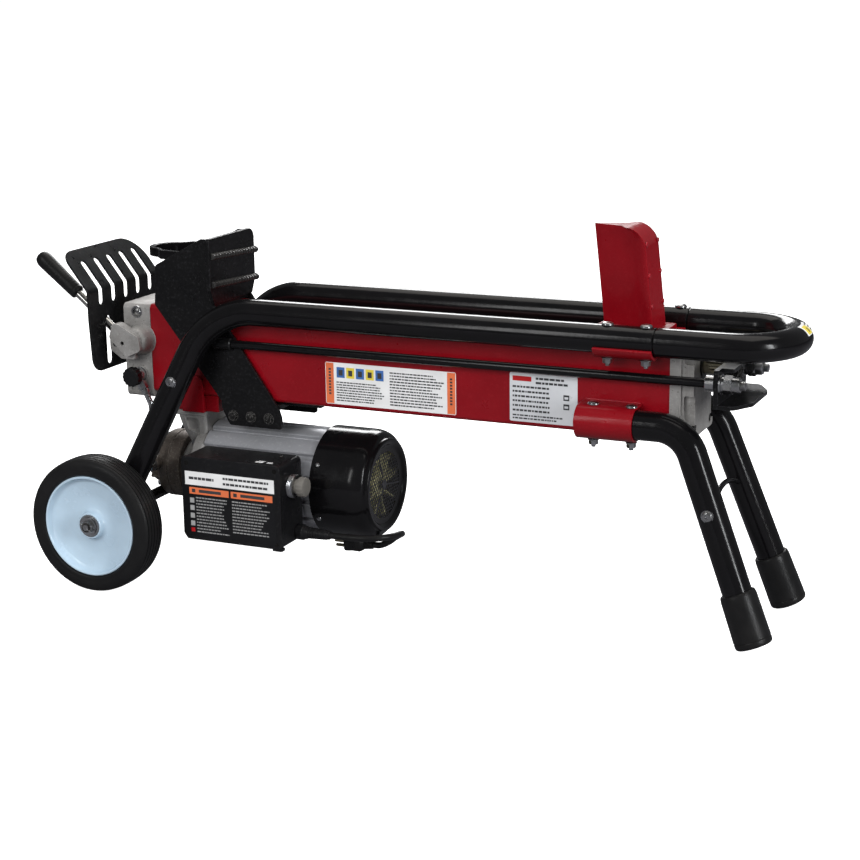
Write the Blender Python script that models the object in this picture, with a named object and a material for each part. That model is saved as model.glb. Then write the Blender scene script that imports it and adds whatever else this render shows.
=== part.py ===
"""Electric log splitter: a hydraulic ram in a box beam pulls a pusher against a fixed wedge.

Axes: +X runs along the beam from the valve end to the handle, +Y is the far side, +Z is up.
Every place below is measured from the wheel axle (X), the beam's centre plane (Y) and the
ground (Z). The empty "splitter" then puts the middle of the footprint at the world's origin.
"Right" is the -Y side and "left" is the +Y side. All sizes are in metres.
"""
import math

import bmesh
import bpy
from mathutils import Matrix, Vector

# ---------------------------------------------------------------- driving dimensions
GAP = 0.0003                 # clearance left between touching pieces
FOOTPRINT_MIDDLE = 0.38257   # from the axle to the middle of the whole machine, along X

BEAM_X = (0.0103, 0.7667)
BEAM_HALF = 0.045
BEAM_Z = (0.248, 0.373)
BEAM_WALL = 0.004
CYLINDER_Z = 0.340           # height of the ram's centre line
CYLINDER_X = (0.300, 0.7660)
CYLINDER_R = (0.0245, 0.0285)
ROD_R = 0.0125
ROD_TAIL_Z = 0.3315          # the rod's threaded tail sits below its centre line, clear of the lip

WHEEL_R = 0.094
WHEEL_Y = 0.188
RIM_R = 0.070
AXLE_R = 0.008
AXLE_PLAY = 0.00015          # running clearance of each wheel's bore

RAIL_Y = 0.0726
RAIL_Z = 0.378
TUBE_R = 0.0184
TUBE_WALL = 0.0020
TUBE_SIDES = 12
RAIL_BEND_X = 0.124
RAIL_JOINT_X = 0.7570
HANDLE_ARC_X = 0.842
LEG_END_Y = 0.140

FOOT_LEG_R = 0.0190
FOOT_LEG_Y = 0.068
FOOT_LEG_Z = 0.270
FOOT_KNEE_X = 0.7933
FOOT_END = (0.8945, 0.088)
CAP_R = 0.0240
CAP_LENGTH = 0.070
CAP_SOLE_CUT = 0.0015        # rubber worn flat where the cap meets the ground

SIDE_ROD_Y = 0.0558
SIDE_ROD_Z = 0.328
SIDE_ROD_R = 0.0060
PUSH_FACE_X = 0.120
PUSH_SIDE_Y = (0.0495, 0.0535)
TOOTH_TILT = math.radians(-3.2)
RAIL_BOLT_X = (0.694, 0.744)
SADDLE_BOLT_X = (0.675, 0.725)
SADDLE_X = (0.655, 0.7315)
CRADLE_X = (0.680, 0.7565)

MOTOR_Z = 0.134
MOTOR_R = 0.0722
COWL_R = 0.0762
COWL_X = (0.2690, 0.353)
SHAFT_R = 0.0070
GEAR_SPACING = 0.0268

BOX_X = (0.108, 0.260)
BOX_Y = (-0.140, -0.0765)
BOX_Z = (0.070, 0.187)
BUTTON = (-0.108, 0.152)     # y and z of the push button's axis

LEVER_PIVOT = (-0.036, -0.052, 0.317)
LEVER_RISE = 0.0075          # the rod's line passes this far above the pivot
KNOB_AXIS = (-0.007, 0.273)
GUARD_X = -0.055
GUARD_KNEE_Z = 0.395
GUARD_LEAN = math.radians(37.5)
BED_X = (0.1290, 0.6440)            # the free length of the bed, between the pusher and the wedge's seat
BED_STEP = 0.0003                   # how far the beam's top is relieved beyond the bed's two ends
WEDGE_BACK_HALF = 0.0270

CORD_R = 0.0045
CORD_EXIT = (0.3093, -0.092, 0.083)
PLUG_END = (0.3300, -0.0020, 0.0453)


# ---------------------------------------------------------------- materials
def material(name, colour, metallic=0.0, roughness=0.5):
    mat = bpy.data.materials.new(name)
    mat.use_nodes = True
    shader = mat.node_tree.nodes["Principled BSDF"]
    shader.inputs["Base Color"].default_value = (*colour, 1.0)
    shader.inputs["Metallic"].default_value = metallic
    shader.inputs["Roughness"].default_value = roughness
    return mat


def make_materials():
    return {
        "red": material("red_paint", (0.33, 0.012, 0.02), 0.0, 0.35),
        "black": material("black_paint", (0.012, 0.012, 0.013), 0.0, 0.28),
        "cast": material("cast_aluminium", (0.52, 0.51, 0.49), 0.9, 0.48),
        "silver": material("silver_paint", (0.50, 0.52, 0.54), 0.6, 0.40),
        "steel": material("zinc_steel", (0.62, 0.64, 0.66), 1.0, 0.32),
        "chrome": material("chrome_rod", (0.75, 0.74, 0.70), 1.0, 0.12),
        "plastic": material("black_plastic", (0.014, 0.014, 0.015), 0.0, 0.45),
        "rubber": material("black_rubber", (0.012, 0.012, 0.012), 0.0, 0.75),
        "rim": material("white_rim", (0.72, 0.80, 0.86), 0.0, 0.30),
        "grey": material("grey_cap", (0.20, 0.20, 0.20), 0.0, 0.5),
        "iron": material("cast_iron", (0.20, 0.19, 0.18), 0.7, 0.6),
        "copper": material("winding", (0.45, 0.20, 0.10), 0.8, 0.5),
    }


# ---------------------------------------------------------------- building tools
MATERIALS = {}
FRAME = {}


def clear_scene():
    for obj in list(bpy.data.objects):
        bpy.data.objects.remove(obj, do_unlink=True)


def make_empty(name, place, parent=None):
    """An empty at a place given in the machine's own frame."""
    empty = bpy.data.objects.new(name, None)
    empty.empty_display_size = 0.05
    bpy.context.scene.collection.objects.link(empty)
    if parent is not None:
        empty.parent = parent
    empty.location = place
    return empty


def add_object(name, mesh, colour, axis="frame", smooth=True):
    """Link a mesh whose points are in the machine's frame, under the empty of its axis."""
    mesh.validate()
    mesh.materials.append(MATERIALS[colour])
    if smooth:
        mesh.shade_smooth()
        mesh.set_sharp_from_angle(angle=math.radians(35.0))
    obj = bpy.data.objects.new(name, mesh)
    bpy.context.scene.collection.objects.link(obj)
    empty = FRAME[axis]
    obj.parent = empty
    offset = Vector() if axis == "frame" else Vector(empty.location)
    obj.matrix_parent_inverse = Matrix.Translation(-offset)
    return obj


def finish_mesh(bm, name):
    bmesh.ops.recalc_face_normals(bm, faces=bm.faces)
    mesh = bpy.data.meshes.new(name)
    bm.to_mesh(mesh)
    bm.free()
    return mesh


def lofted(rings, closed_loop=False, name="loft"):
    """Skin a list of rings of points. One-point rings are tips; a closed loop has no ends."""
    bm = bmesh.new()
    verts = [[bm.verts.new(p) for p in ring] for ring in rings]
    pairs = list(zip(verts, verts[1:]))
    if closed_loop:
        pairs.append((verts[-1], verts[0]))
    for first, second in pairs:
        count = max(len(first), len(second))
        for i in range(count):
            j = (i + 1) % count
            if len(first) == 1:
                bm.faces.new((first[0], second[j], second[i]))
            elif len(second) == 1:
                bm.faces.new((first[i], first[j], second[0]))
            else:
                bm.faces.new((first[i], first[j], second[j], second[i]))
    if not closed_loop:
        for ring in (verts[0], verts[-1]):
            if len(ring) > 2:
                bm.faces.new(ring)
    return finish_mesh(bm, name)


def axis_point(axis, along, u, v):
    """A point from its distance along X, Y or Z and two coordinates across it."""
    if axis == "X":
        return Vector((along, u, v))
    if axis == "Y":
        return Vector((v, along, u))
    return Vector((u, v, along))


def turned(profile, axis, centre, segments=24, closed=False, phase=0.0):
    """Turn (along, radius) pairs about an axis through centre."""
    rings = []
    for along, radius in profile:
        if radius < 1e-7:
            rings.append([axis_point(axis, along, 0.0, 0.0) + Vector(centre)])
            continue
        angles = [phase + 2.0 * math.pi * i / segments for i in range(segments)]
        ring = [axis_point(axis, along, radius * math.cos(a), radius * math.sin(a)) for a in angles]
        rings.append([p + Vector(centre) for p in ring])
    return lofted(rings, closed_loop=closed, name="turned")


def round_bar(axis, lo, hi, radius, centre, segments=20, chamfer=0.0):
    """A plain or chamfered cylinder from lo to hi along an axis."""
    c = chamfer
    profile = [(lo, radius), (hi, radius)]
    if c > 0.0:
        profile = [(lo, radius - c), (lo + c, radius), (hi - c, radius), (hi, radius - c)]
    return turned(profile, axis, centre, segments)


def prism(outline, axis, lo, hi):
    """Extrude a flat outline along an axis; outline points are the two coordinates across it."""
    low = [axis_point(axis, lo, u, v) for u, v in outline]
    high = [axis_point(axis, hi, u, v) for u, v in outline]
    return lofted([low, high], name="prism")


def box_outline(u_range, v_range, radius=0.0, steps=3):
    """A rectangle with rounded corners."""
    (u0, u1), (v0, v1) = u_range, v_range
    if radius <= 0.0:
        return [(u0, v0), (u1, v0), (u1, v1), (u0, v1)]
    corners = [(u1 - radius, v0 + radius, -90.0), (u1 - radius, v1 - radius, 0.0),
               (u0 + radius, v1 - radius, 90.0), (u0 + radius, v0 + radius, 180.0)]
    points = []
    for cu, cv, start in corners:
        for i in range(steps + 1):
            a = math.radians(start + 90.0 * i / steps)
            points.append((cu + radius * math.cos(a), cv + radius * math.sin(a)))
    return points


def rounded_outline(points, radii, steps=4):
    """Round each corner of a flat outline by its own radius."""
    result = []
    count = len(points)
    for i, (corner, radius) in enumerate(zip(points, radii)):
        here = Vector(corner)
        before = (Vector(points[i - 1]) - here).normalized()
        after = (Vector(points[(i + 1) % count]) - here).normalized()
        if radius <= 0.0:
            result.append(tuple(here))
            continue
        half = before.angle(after) / 2.0
        reach = radius / math.tan(half)
        centre = here + (before + after).normalized() * (radius / math.sin(half))
        start = here + before * reach - centre
        stop = here + after * reach - centre
        sweep = start.angle(stop)
        for k in range(steps + 1):
            t = k / steps
            blend = start * math.sin((1.0 - t) * sweep) + stop * math.sin(t * sweep)
            result.append(tuple(centre + blend / math.sin(sweep)))
    return result


def filleted_path(corners, radii, step_degrees=20.0):
    """A 3D path through corners, each inner corner rounded by its radius."""
    points = [Vector(corners[0])]
    for i in range(1, len(corners) - 1):
        here = Vector(corners[i])
        before = (Vector(corners[i - 1]) - here).normalized()
        after = (Vector(corners[i + 1]) - here).normalized()
        half = before.angle(after) / 2.0
        radius = radii[i - 1]
        reach = radius / math.tan(half)
        centre = here + (before + after).normalized() * (radius / math.sin(half))
        start = here + before * reach - centre
        stop = here + after * reach - centre
        sweep = start.angle(stop)
        steps = max(2, round(math.degrees(sweep) / step_degrees))
        for k in range(steps + 1):
            t = k / steps
            blend = start * math.sin((1.0 - t) * sweep) + stop * math.sin(t * sweep)
            points.append(centre + blend / math.sin(sweep))
    points.append(Vector(corners[-1]))
    return points


def ring_frames(path):
    """Directions across a path at each of its points, carried along without twist."""
    frames = []
    across = None
    for i, point in enumerate(path):
        back = (point - path[i - 1]).normalized() if i > 0 else None
        ahead = (path[i + 1] - point).normalized() if i + 1 < len(path) else None
        along = ahead if back is None else back if ahead is None else (back + ahead).normalized()
        if across is None:
            across = along.cross(Vector((0.0, 0.0, 1.0)))
            if across.length < 0.1:
                across = along.cross(Vector((0.0, 1.0, 0.0)))
        across = (across - along * across.dot(along)).normalized()
        stretch = 1.0
        bend_axis = None
        if back is not None and ahead is not None and back.angle(ahead) > 1e-4:
            stretch = 1.0 / math.cos(back.angle(ahead) / 2.0)
            bend_axis = (ahead - back).normalized()
        frames.append((along, across, along.cross(across), bend_axis, stretch))
    return frames


def path_ring(point, frame, radius, segments):
    along, across, up, bend_axis, stretch = frame
    ring = []
    for i in range(segments):
        a = 2.0 * math.pi * i / segments
        offset = across * (radius * math.cos(a)) + up * (radius * math.sin(a))
        if bend_axis is not None:
            offset += bend_axis * (offset.dot(bend_axis) * (stretch - 1.0))
        ring.append(point + offset)
    return ring


def pipe(path, radii, wall=0.0, segments=16):
    """A tube along a path. With a wall it is hollow and open at both ends."""
    frames = ring_frames(path)
    if not hasattr(radii, "__len__"):
        radii = [radii] * len(path)
    outer = [path_ring(p, f, r, segments) for p, f, r in zip(path, frames, radii)]
    if wall <= 0.0:
        return lofted(outer, name="pipe")
    bore = min(radii) - wall
    inner = [path_ring(p, f, bore, segments) for p, f in zip(path, frames)]
    return lofted(outer + inner[::-1], closed_loop=True, name="pipe")


def tool_solid(name, mesh, axis="frame"):
    """A helper solid that cuts or joins another piece and is left out of the model."""
    obj = add_object(name, mesh, "grey", axis, smooth=False)
    obj.hide_render = True
    obj.display_type = "WIRE"
    return obj


def combine(target, mesh, operation, label):
    tool = tool_solid(f"{target.name}.{label}", mesh)
    tool.parent = target.parent
    tool.matrix_parent_inverse = target.matrix_parent_inverse.copy()
    modifier = target.modifiers.new(label, "BOOLEAN")
    modifier.operation = operation
    modifier.solver = "EXACT"
    modifier.object = tool
    return tool


def cut(target, mesh, label="cut"):
    return combine(target, mesh, "DIFFERENCE", label)


def fuse(target, mesh, label="fuse"):
    return combine(target, mesh, "UNION", label)


def bevel_edges(target, width, segments=1, angle=40.0):
    modifier = target.modifiers.new("edges", "BEVEL")
    modifier.width = width
    modifier.segments = segments
    modifier.limit_method = "ANGLE"
    modifier.angle_limit = math.radians(angle)
    modifier.use_clamp_overlap = True


# ---------------------------------------------------------------- beam, covers and cylinder
def add_beam():
    outer = box_outline((-BEAM_HALF, BEAM_HALF), BEAM_Z, 0.006)
    w = BEAM_WALL
    inner = box_outline((-BEAM_HALF + w, BEAM_HALF - w), (BEAM_Z[0] + w, BEAM_Z[1] - w), 0.003)
    rings = [[axis_point("X", x, u, v) for u, v in outline]
             for x, outline in ((BEAM_X[0], outer), (BEAM_X[1], outer),
                                (BEAM_X[1], inner), (BEAM_X[0], inner))]
    beam = add_object("beam", lofted(rings, closed_loop=True), "red")
    pad = box_outline((-0.040, 0.040), (0.2243, 0.2520), 0.0)
    fuse(beam, prism(pad, "X", 0.045, 0.112), "foot_pad")
    ear_x = rounded_outline([(0.058, 0.2243), (0.092, 0.2243), (0.092, 0.276), (0.058, 0.276)],
                            [0.0, 0.0, 0.010, 0.010])
    for side in (-1.0, 1.0):
        y0, y1 = sorted((side * (BEAM_HALF - 0.006), side * (BEAM_HALF + 0.0035)))
        ear = [(z, x) for x, z in ear_x]
        fuse(beam, prism(ear, "Y", y0, y1), "foot_ear")
    for x0, x1 in ((BEAM_X[0] - 0.010, BED_X[0]), (BED_X[1], BEAM_X[1] + 0.010)):
        relief = box_outline((-BEAM_HALF - 0.010, BEAM_HALF + 0.010),
                             (BEAM_Z[1] - BED_STEP, BEAM_Z[1] + 0.010), 0.0)
        cut(beam, prism(relief, "X", x0, x1), "bed_relief")


def add_cylinder():
    lo, hi = CYLINDER_X
    r0, r1 = CYLINDER_R
    mesh = turned([(lo, r1), (hi, r1), (hi, r0), (lo, r0)], "X", (0, 0, CYLINDER_Z), 20, closed=True)
    add_object("cylinder_tube", mesh, "steel")


def add_valve_cover():
    outline = box_outline((-0.046, 0.046), (0.239, 0.372), 0.007)
    cover = add_object("valve_cover", prism(outline, "X", -0.0330, BEAM_X[0] - GAP), "cast")
    bevel_edges(cover, 0.0015)
    boss = turned([(-0.0655, 0.0165), (-0.062, 0.0195), (-0.0454, 0.0195)], "Y", (-0.006, 0, 0.322), 24)
    fuse(cover, boss, "valve_boss")
    lug = rounded_outline([(0.330, -0.046), (0.330, -0.006), (0.306, -0.006), (0.306, -0.046)],
                          [0.011, 0.0, 0.0, 0.011])
    fuse(cover, prism(lug, "Y", -0.0650, -0.0575), "clevis_lug")
    fuse(cover, round_bar("Y", -0.0580, -0.0470, 0.0035, (LEVER_PIVOT[0], 0, LEVER_PIVOT[2]), 12), "pin")
    banjo_seat = (KNOB_AXIS[0], 0, KNOB_AXIS[1])
    fuse(cover, round_bar("Y", -0.0505, -0.0454, 0.0105, banjo_seat, 16), "banjo_seat")
    for y in (-0.022, 0.026):
        fuse(cover, round_bar("X", GUARD_X + 0.0015 + GAP, -0.0320, 0.0065, (0, y, 0.300), 14), "standoff")
    bore = round_bar("Z", 0.230, 0.352, 0.0068, (-0.012, -0.018, 0), 16)
    cut(cover, bore, "spool_bore")


def add_end_cover():
    slabs = ((0.7670, 0.7815, -0.046, 0.249, 0.372), (0.7810, 0.7905, -0.0425, 0.2530, 0.3690),
             (0.7900, 0.7975, -0.0440, 0.2515, 0.3700))
    for i, (x0, x1, y0, z0, z1) in enumerate(slabs):
        mesh = prism(box_outline((y0, -y0), (z0, z1), 0.007), "X", x0, x1)
        if i == 0:
            cover = add_object("end_cover", mesh, "cast")
        else:
            fuse(cover, mesh, f"slab_{i}")
    cut(cover, round_bar("X", 0.760, 0.825, ROD_R + GAP, (0, 0, CYLINDER_Z), 28), "rod_bore")


# ---------------------------------------------------------------- tubes, cradles and legs
def leg_path(side):
    """Centre line of one rear leg and rail: from below the axle, up, and along the beam."""
    axle = Vector((0.0, side * LEG_END_Y, WHEEL_R))
    bend = Vector((RAIL_BEND_X, side * RAIL_Y, RAIL_Z))
    foot = axle + (axle - bend).normalized() * 0.015
    end = Vector((RAIL_JOINT_X - GAP, side * RAIL_Y, RAIL_Z))
    return filleted_path([foot, bend, end], [0.105])


def rail_bolt_hole(x, side):
    return round_bar("Z", 0.340, 0.410, 0.0034, (x, side * RAIL_Y, 0), 12)


def add_rails():
    for side, word in ((-1.0, "right"), (1.0, "left")):
        rail = add_object(f"rail_tube_{word}", pipe(leg_path(side), TUBE_R, TUBE_WALL, TUBE_SIDES), "black")
        y0, y1 = sorted((side * 0.110, side * 0.170))
        cut(rail, round_bar("Y", y0, y1, AXLE_R + GAP, (0, 0, WHEEL_R), 20), "axle_hole")
        for i, x in enumerate(RAIL_BOLT_X):
            cut(rail, rail_bolt_hole(x, side), f"bolt_hole_{i}")


def add_handle():
    """A U of tube whose two spigots slide into the rails."""
    spigot_end = 0.716
    joint = RAIL_JOINT_X
    corners = [Vector((spigot_end, -RAIL_Y, RAIL_Z)), Vector((joint, -RAIL_Y, RAIL_Z))]
    arc = []
    steps = 10
    for i in range(steps + 1):
        a = -math.pi / 2.0 + math.pi * i / steps
        arc.append(Vector((HANDLE_ARC_X + RAIL_Y * math.cos(a), RAIL_Y * math.sin(a), RAIL_Z)))
    right_end = [Vector((joint + 0.0008, -RAIL_Y, RAIL_Z))]
    left_end = [Vector((joint + 0.0008, RAIL_Y, RAIL_Z)), Vector((joint, RAIL_Y, RAIL_Z)),
                Vector((spigot_end, RAIL_Y, RAIL_Z))]
    path = corners + right_end + arc + left_end
    spigot_r = TUBE_R - TUBE_WALL - 0.0010
    radii = [spigot_r] * 2 + [TUBE_R] * (len(arc) + 2) + [spigot_r] * 2
    handle = add_object("handle_tube", pipe(path, radii, TUBE_WALL, TUBE_SIDES), "black")
    for side, word in ((-1.0, "right"), (1.0, "left")):
        cut(handle, rail_bolt_hole(RAIL_BOLT_X[1], side), f"bolt_hole_{word}")


def arc_points(centre, radius, start, stop, steps):
    cu, cv = centre
    angles = [math.radians(start + (stop - start) * i / steps) for i in range(steps + 1)]
    return [(cu + radius * math.cos(a), cv + radius * math.sin(a)) for a in angles]


def mirror_outline(outline, side):
    return [(side * y, z) for y, z in outline]


def add_cradles():
    """Curved plates on the beam's sides that carry the rails. Outlines are for the left side."""
    centre = (RAIL_Y, RAIL_Z)
    inner = TUBE_R + 0.0004
    outer = inner + 0.003
    outline = arc_points(centre, outer, -28.0, -140.0, 8)
    outline += [(BEAM_HALF + GAP, 0.3590), (BEAM_HALF + GAP, 0.3700)]
    outline += arc_points(centre, inner, -165.0, -28.0, 9)
    for side, word in ((-1.0, "right"), (1.0, "left")):
        mesh = prism(mirror_outline(outline, side), "X", *CRADLE_X)
        cradle = add_object(f"rail_cradle_{word}", mesh, "red")
        for i, x in enumerate(RAIL_BOLT_X):
            cut(cradle, rail_bolt_hole(x, side), f"bolt_hole_{i}")


def saddle_bolt_hole(x, side):
    return round_bar("Z", 0.235, 0.300, 0.0034, (x, side * FOOT_LEG_Y, 0), 12)


def add_saddles():
    """Red clips, open towards the beam, that wrap the tops of the front legs."""
    inner = FOOT_LEG_R + 0.0004
    outer = inner + 0.003
    y_root = BEAM_HALF + GAP
    centre = (FOOT_LEG_Y, FOOT_LEG_Z)
    outline = [(y_root, FOOT_LEG_Z - outer)]
    outline += arc_points(centre, outer, -90.0, 90.0, 12)
    outline += [(y_root, FOOT_LEG_Z + outer), (y_root, FOOT_LEG_Z + inner)]
    outline += arc_points(centre, inner, 90.0, -90.0, 12)
    outline += [(y_root, FOOT_LEG_Z - inner)]
    for side, word in ((-1.0, "right"), (1.0, "left")):
        saddle = add_object(f"leg_saddle_{word}", prism(mirror_outline(outline, side), "X", *SADDLE_X), "red")
        for i, x in enumerate(SADDLE_BOLT_X):
            cut(saddle, saddle_bolt_hole(x, side), f"bolt_hole_{i}")


def foot_geometry(side):
    """The knee, the direction down the leg and the middle of the cap's sole."""
    knee = Vector((FOOT_KNEE_X, side * FOOT_LEG_Y, FOOT_LEG_Z))
    rough = Vector((FOOT_END[0], side * FOOT_END[1], 0.009))
    down = (rough - knee).normalized()
    sole_z = CAP_R * math.sqrt(1.0 - down.z ** 2) - CAP_SOLE_CUT
    sole = knee + down * ((sole_z - knee.z) / down.z)
    return knee, down, sole


def add_front_legs():
    for side, word in ((-1.0, "right"), (1.0, "left")):
        knee, down, sole = foot_geometry(side)
        top = Vector((SADDLE_X[0] + 0.004, side * FOOT_LEG_Y, FOOT_LEG_Z))
        path = filleted_path([top, knee, sole - down * 0.012], [0.050])
        leg = add_object(f"front_leg_{word}", pipe(path, FOOT_LEG_R, TUBE_WALL, TUBE_SIDES), "black")
        for i, x in enumerate(SADDLE_BOLT_X):
            cut(leg, saddle_bolt_hole(x, side), f"bolt_hole_{i}")
        cap_path = [sole, sole - down * 0.004, sole - down * (CAP_LENGTH - 0.003), sole - down * CAP_LENGTH]
        cap_radii = [CAP_R, CAP_R + 0.0003, CAP_R - 0.0010, CAP_R - 0.0030]
        cap = add_object(f"foot_cap_{word}", pipe(cap_path, cap_radii, 0.0, 18), "rubber")
        socket = pipe([sole - down * 0.0117, sole - down * 0.090], FOOT_LEG_R + 0.0008, 0.0, 16)
        cut(cap, socket, "socket")
        ground = prism([(-0.05, -0.02), (0.05, -0.02), (0.05, 0.0), (-0.05, 0.0)], "X",
                       sole.x - 0.05, sole.x + 0.05)
        ground.transform(Matrix.Translation((0.0, sole.y, 0.0)))
        cut(cap, ground, "worn_sole")


def add_leg_brace():
    """A thin bowed bar between the two front legs."""
    knee, down, _ = foot_geometry(-1.0)
    z = 0.174
    centre = knee + down * ((z - knee.z) / down.z)
    reach = -centre.y - (FOOT_LEG_R / math.sqrt(1.0 - down.y ** 2)) - 0.0014
    path = []
    steps = 10
    for i in range(steps + 1):
        t = -1.0 + 2.0 * i / steps
        bow = 0.012 * (1.0 - t * t)
        path.append(Vector((centre.x - 0.30 * bow, t * reach, z + bow)))
    add_object("leg_brace", pipe(path, 0.0035, 0.0, 10), "black")


def hex_bolt(x, y, top, bottom, head_z, nut_z, shank_r=0.003):
    """An upright carriage bolt with its dome head above and its nut below, as one solid."""
    dome = [(top + 0.0045, 0.0), (top + 0.0038, 0.0040), (head_z, 0.0072)]
    shank = [(head_z, shank_r), (nut_z[1], shank_r)]
    nut = [(nut_z[1], 0.0060), (nut_z[0], 0.0060), (nut_z[0], shank_r), (bottom, shank_r), (bottom, 0.0)]
    return turned((dome + shank + nut)[::-1], "Z", (x, y, 0.0), 8)


def add_frame_bolts():
    for side, word in ((-1.0, "right"), (1.0, "left")):
        for i, x in enumerate(RAIL_BOLT_X):
            bottom = RAIL_Z - TUBE_R - 0.0034 - GAP
            mesh = hex_bolt(x, side * RAIL_Y, RAIL_Z + TUBE_R + GAP, bottom - 0.0105,
                            RAIL_Z + TUBE_R + GAP, (bottom - 0.0065, bottom))
            add_object(f"rail_bolt_{word}_{i + 1}", mesh, "steel")
        for i, x in enumerate(SADDLE_BOLT_X):
            top = FOOT_LEG_Z + FOOT_LEG_R + 0.0034 + GAP
            bottom = FOOT_LEG_Z - FOOT_LEG_R - 0.0034 - GAP
            mesh = hex_bolt(x, side * FOOT_LEG_Y, top, bottom - 0.0105, top, (bottom - 0.0065, bottom))
            add_object(f"saddle_bolt_{word}_{i + 1}", mesh, "steel")


# ---------------------------------------------------------------- wedge
def add_wedge():
    """A blade that leans back towards the pusher, thickening to a back plate, on a base plate."""
    base_z = BEAM_Z[1] + GAP - BED_STEP
    lean = -0.106

    def section(z, depth=0.0735):
        tip_x = 0.6655 + lean * (z - 0.373)
        half = WEDGE_BACK_HALF
        return [Vector((tip_x, -0.0008, z)), Vector((tip_x + 0.022, -0.0080, z)),
                Vector((tip_x + 0.0565, -0.0200, z)), Vector((tip_x + 0.0660, -half + 0.001, z)),
                Vector((tip_x + depth, -half, z)), Vector((tip_x + depth, half, z)),
                Vector((tip_x + 0.0660, half - 0.001, z)), Vector((tip_x + 0.0565, 0.0200, z)),
                Vector((tip_x + 0.022, 0.0080, z)), Vector((tip_x, 0.0008, z))]

    rings = [section(base_z + 0.007), section(0.485)]
    top_z = 0.5115
    for degrees in (30.0, 60.0, 84.0):
        drop = 0.0265 * math.sin(math.radians(degrees))
        pull = 0.0265 * (1.0 - math.cos(math.radians(degrees)))
        rings.append(section(top_z - 0.0265 + drop, 0.0735 - pull))
        row = rings[-1]
        for i in (3, 6):
            row[i].x = min(row[i].x, row[4].x - 0.0030)
        for i in (2, 7):
            row[i].x = min(row[i].x, row[3].x - 0.0030)
    wedge = add_object("wedge", lofted(rings, name="wedge"), "red", smooth=False)
    base = rounded_outline([(0.655, -0.040), (0.750, -0.040), (0.750, 0.040), (0.655, 0.040)],
                           [0.006] * 4, 3)
    fuse(wedge, prism(base, "Z", base_z, base_z + 0.008), "base")


# ---------------------------------------------------------------- wheels
def add_wheels():
    axle = [(-0.2170, 0.0), (-0.2170, 0.0060), (-0.2150, AXLE_R + 0.0040), (-0.2085, AXLE_R + 0.0040),
            (-0.2085, AXLE_R), (-0.1675, AXLE_R), (-0.1675, 0.0120), (-0.1640, 0.0120), (-0.1640, AXLE_R)]
    axle += [(-a, r) for a, r in axle[::-1]]
    add_object("axle", turned(axle, "Y", (0, 0, WHEEL_R), 14), "black")
    tyre_half = [(0.0205, RIM_R + GAP), (0.0230, 0.0780), (0.0222, 0.0870), (0.0180, 0.0925),
                 (0.0090, WHEEL_R)]
    tyre = tyre_half + [(-a, r) for a, r in tyre_half[::-1]]
    outside = [(0.0210, RIM_R), (0.0210, 0.0665), (0.0135, 0.0625), (0.0085, 0.0440),
               (0.0110, 0.0190), (0.0200, 0.0165), (0.0200, AXLE_R + AXLE_PLAY)]
    inside = [(-0.0200, AXLE_R + AXLE_PLAY), (-0.0200, 0.0165), (0.0065, 0.0190), (0.0040, 0.0460),
              (0.0070, 0.0640), (-0.0210, 0.0665), (-0.0210, RIM_R)]
    for side, word in ((-1.0, "right"), (1.0, "left")):
        centre = (0.0, side * WHEEL_Y, WHEEL_R)
        tyre_ring = [(side * a, r) for a, r in tyre]
        rim_ring = [(side * a, r) for a, r in outside + inside]
        add_object(f"tyre_{word}", turned(tyre_ring, "Y", centre, 24, closed=True), "rubber", f"wheel_{word}")
        rim = turned(rim_ring, "Y", centre, 24, closed=True)
        add_object(f"wheel_rim_{word}", rim, "rim", f"wheel_{word}")


# ---------------------------------------------------------------- ram and pusher
def add_ram():
    centre = (0, 0, CYLINDER_Z)
    bore = CYLINDER_R[0]
    piston = [(0.315, ROD_R - 0.004), (0.315, bore - 0.002), (0.317, bore - GAP), (0.343, bore - GAP),
              (0.345, bore - 0.002), (0.345, ROD_R - 0.004)]
    add_object("piston", turned(piston, "X", centre, 20, closed=True), "iron", "ram")
    small = ROD_R - 0.004 - GAP
    rod = [(0.306, 0.0), (0.306, small), (0.3453, small), (0.3453, ROD_R), (0.8281, ROD_R),
           (0.8281, 0.0)]
    piston_rod = add_object("piston_rod", turned(rod, "X", centre, 18), "chrome", "ram")
    tail = [(0.8200, 0.0), (0.8200, 0.0060), (0.8349, 0.0060), (0.8349, 0.0085), (0.8430, 0.0085),
            (0.8430, 0.0060), (0.8480, 0.0055), (0.8480, 0.0)]
    fuse(piston_rod, turned(tail, "X", (0, 0, ROD_TAIL_Z), 12), "tail")
    add_yoke()
    add_side_rods()
    add_pusher()


def add_yoke():
    """A channel across the rod's end: a web and two tapered flanges, open to the right."""
    web_x = (0.8285, 0.8345)
    half = 0.067
    z_range = (0.2985, 0.3470)
    web = prism(box_outline((-half, half), z_range, 0.006), "X", *web_x)
    yoke = add_object("yoke", web, "black", "ram")
    flange = rounded_outline([(web_x[0], -half), (0.8540, -half), (0.8710, -0.0360), (0.8710, 0.0360),
                              (0.8540, half), (web_x[0], half)], [0.0, 0.008, 0.008, 0.008, 0.008, 0.0], 3)
    fuse(yoke, prism(flange, "Z", z_range[0], z_range[0] + 0.005), "lower_flange")
    lip = box_outline((web_x[0], 0.8500), (-0.050, 0.050), 0.0)
    fuse(yoke, prism(lip, "Z", z_range[1] - 0.005, z_range[1]), "upper_lip")
    cut(yoke, round_bar("X", 0.820, 0.8347, ROD_R * 0.5 + 0.0010, (0, 0, ROD_TAIL_Z), 16), "rod_hole")
    for side in (-1.0, 1.0):
        hole = round_bar("X", 0.820, 0.8347, SIDE_ROD_R + GAP, (0, side * SIDE_ROD_Y, SIDE_ROD_Z), 16)
        cut(yoke, hole, "side_hole")


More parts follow.
